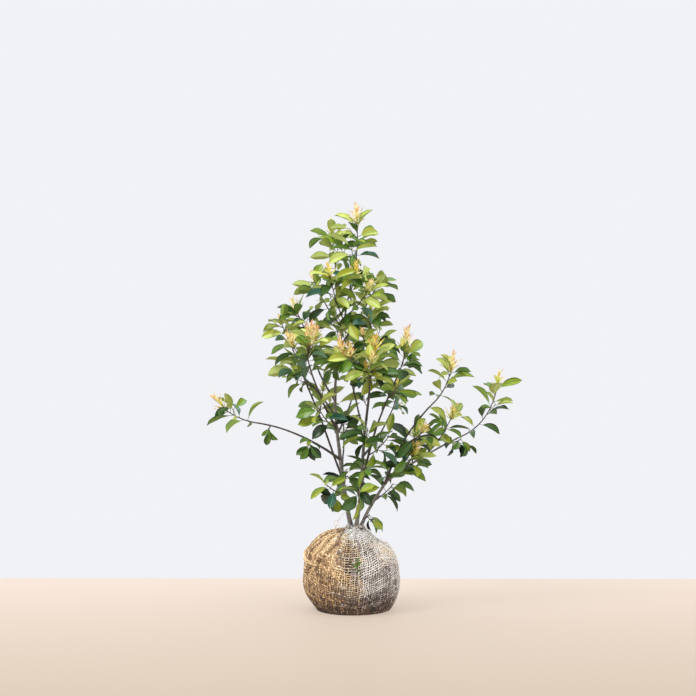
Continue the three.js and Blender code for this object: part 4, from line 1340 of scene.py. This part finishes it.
def add_soil():
    """A closed body just under the cloth: flat below, and with a hollow inside the collar."""
    bearings = 2 * np.pi * np.arange(SOIL_SIDES) / SOIL_SIDES
    arcs = np.linspace(0, CLOTH_LENGTH, 64)
    rings = [cloth_point(bearings, np.full(SOIL_SIDES, arc), -SOIL_DEPTH) for arc in arcs]
    crumbs = np.random.default_rng(11).normal(0, 0.5, (len(rings), SOIL_SIDES, 1))
    outward = np.stack([np.cos(bearings), np.sin(bearings), 0 * bearings], -1)
    rings = [ring + outward * crumb for ring, crumb in zip(rings, crumbs)]
    rings[0][:, 2] = 0.0
    for size, level in SOIL_TOP:
        ring = outward * size + np.array([COLLAR_CENTRE, 0, level])
        rings.append(ring + SKY * crumbs[int(size)])
    rings.insert(0, outward * 60.0)
    points = np.concatenate([*rings, [[0, 0, 0]], [[COLLAR_CENTRE, 0, 252]]])
    build = Build()
    build.add(points, *tube_faces(len(rings), SOIL_SIDES))
    return build.piece("root_ball_soil", [SOIL], "jute")


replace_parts(add_soil(), "root_ball")

# Stage, light and camera
CAMERA_PLACE = (0.029, -4.0, 0.708)
CAMERA_YAW, CAMERA_PITCH = math.radians(0.57), math.radians(1.74)
FOCAL_PIXELS, FRAME_PIXELS, SENSOR = 1250, 696, 36.0
FLOOR_FAR = 0.62
FLOOR_NEAR, FLOOR_BACK = (158, 144, 125), (190, 176, 164)
FLOOR_SHADES = (-1.8, 0.5)  # it goes from one to the other between these places along Y, a painted falloff of light that leaves the floor darker near the camera
FLOOR_DIMMING, FLOOR_GLOW = 0.45, 1.0  # it gives light itself, so that the shadow on it is faint
LIGHTS = (  # place, size, power and colour
    ("key", (-3.2, -2.2, 4.6), 1.8, 162, (1.0, 0.99, 0.97)),
    ("sky", (0, 0.6, 5.5), 7.0, 248, (1.0, 0.99, 0.98)),
    ("fill", (3.4, -3.2, 2.4), 3.6, 60, (0.94, 0.97, 1.0)),
)
LIGHTS_TARGET = np.array((0, 0, 0.6))


def floor_material():
    """Pale, and paler towards the back: painted light, darker near the camera."""
    material, nodes, links, shader = new_material("floor")
    place, _ = add_bump(nodes, links, shader, 60, 0.05, 0.0004)
    parts = nodes.new("ShaderNodeSeparateXYZ")
    depth = nodes.new("ShaderNodeMapRange")
    put(depth, {"From Min": FLOOR_SHADES[0], "From Max": FLOOR_SHADES[1]})
    links.new(place.outputs["Object"], parts.inputs["Vector"])
    links.new(parts.outputs["Y"], depth.inputs["Value"])
    colour = add_ramp(nodes, links, depth.outputs["Result"], FLOOR_NEAR, FLOOR_BACK)
    dim = nodes.new("ShaderNodeVectorMath")
    dim.operation = "SCALE"
    put(dim, {"Scale": FLOOR_DIMMING})
    links.new(colour, dim.inputs[0])
    links.new(dim.outputs["Vector"], shader.inputs["Base Color"])
    links.new(colour, shader.inputs["Emission Color"])
    put(shader, {"Emission Strength": FLOOR_GLOW, "Roughness": 0.6, "Specular IOR Level": 0.1})
    return material


def add_floor():
    mesh = bpy.data.meshes.new("floor")
    corners = [(-9, -12, 0), (9, -12, 0), (9, FLOOR_FAR, 0), (-9, FLOOR_FAR, 0)]
    mesh.from_pydata(corners, [], [(0, 1, 2, 3)])
    mesh.materials.append(floor_material())
    add_object("floor", mesh)


def add_area(name, place, size, power, colour):
    light = bpy.data.lights.new(name, "AREA")
    light.size, light.energy, light.color = size, power, colour
    thing = add_object(name, light)
    thing.location = place
    ahead, aside, down = LIGHTS_TARGET - np.array(place)
    yaw, pitch = math.atan2(aside, ahead) - math.pi / 2, math.atan2(down, math.hypot(ahead, aside))
    thing.rotation_euler = (math.pi / 2 + pitch, 0, yaw)


def add_world():
    world = bpy.data.worlds.new("studio")
    bpy.context.scene.world = world
    world.use_nodes = True
    put(world.node_tree.nodes["Background"], {"Color": (*srgb(241, 242, 246), 1), "Strength": 1.0})


def add_camera():
    data = bpy.data.cameras.new("camera")
    data.sensor_width = SENSOR
    data.lens = SENSOR * FOCAL_PIXELS / FRAME_PIXELS
    camera = add_object("camera", data)
    camera.location = CAMERA_PLACE
    camera.rotation_euler = (math.pi / 2 + CAMERA_PITCH, 0, CAMERA_YAW)
    bpy.context.scene.camera = camera


add_floor()
add_world()
for light in LIGHTS:
    add_area(*light)
add_camera()
bpy.context.scene.view_settings.view_transform = "Standard"
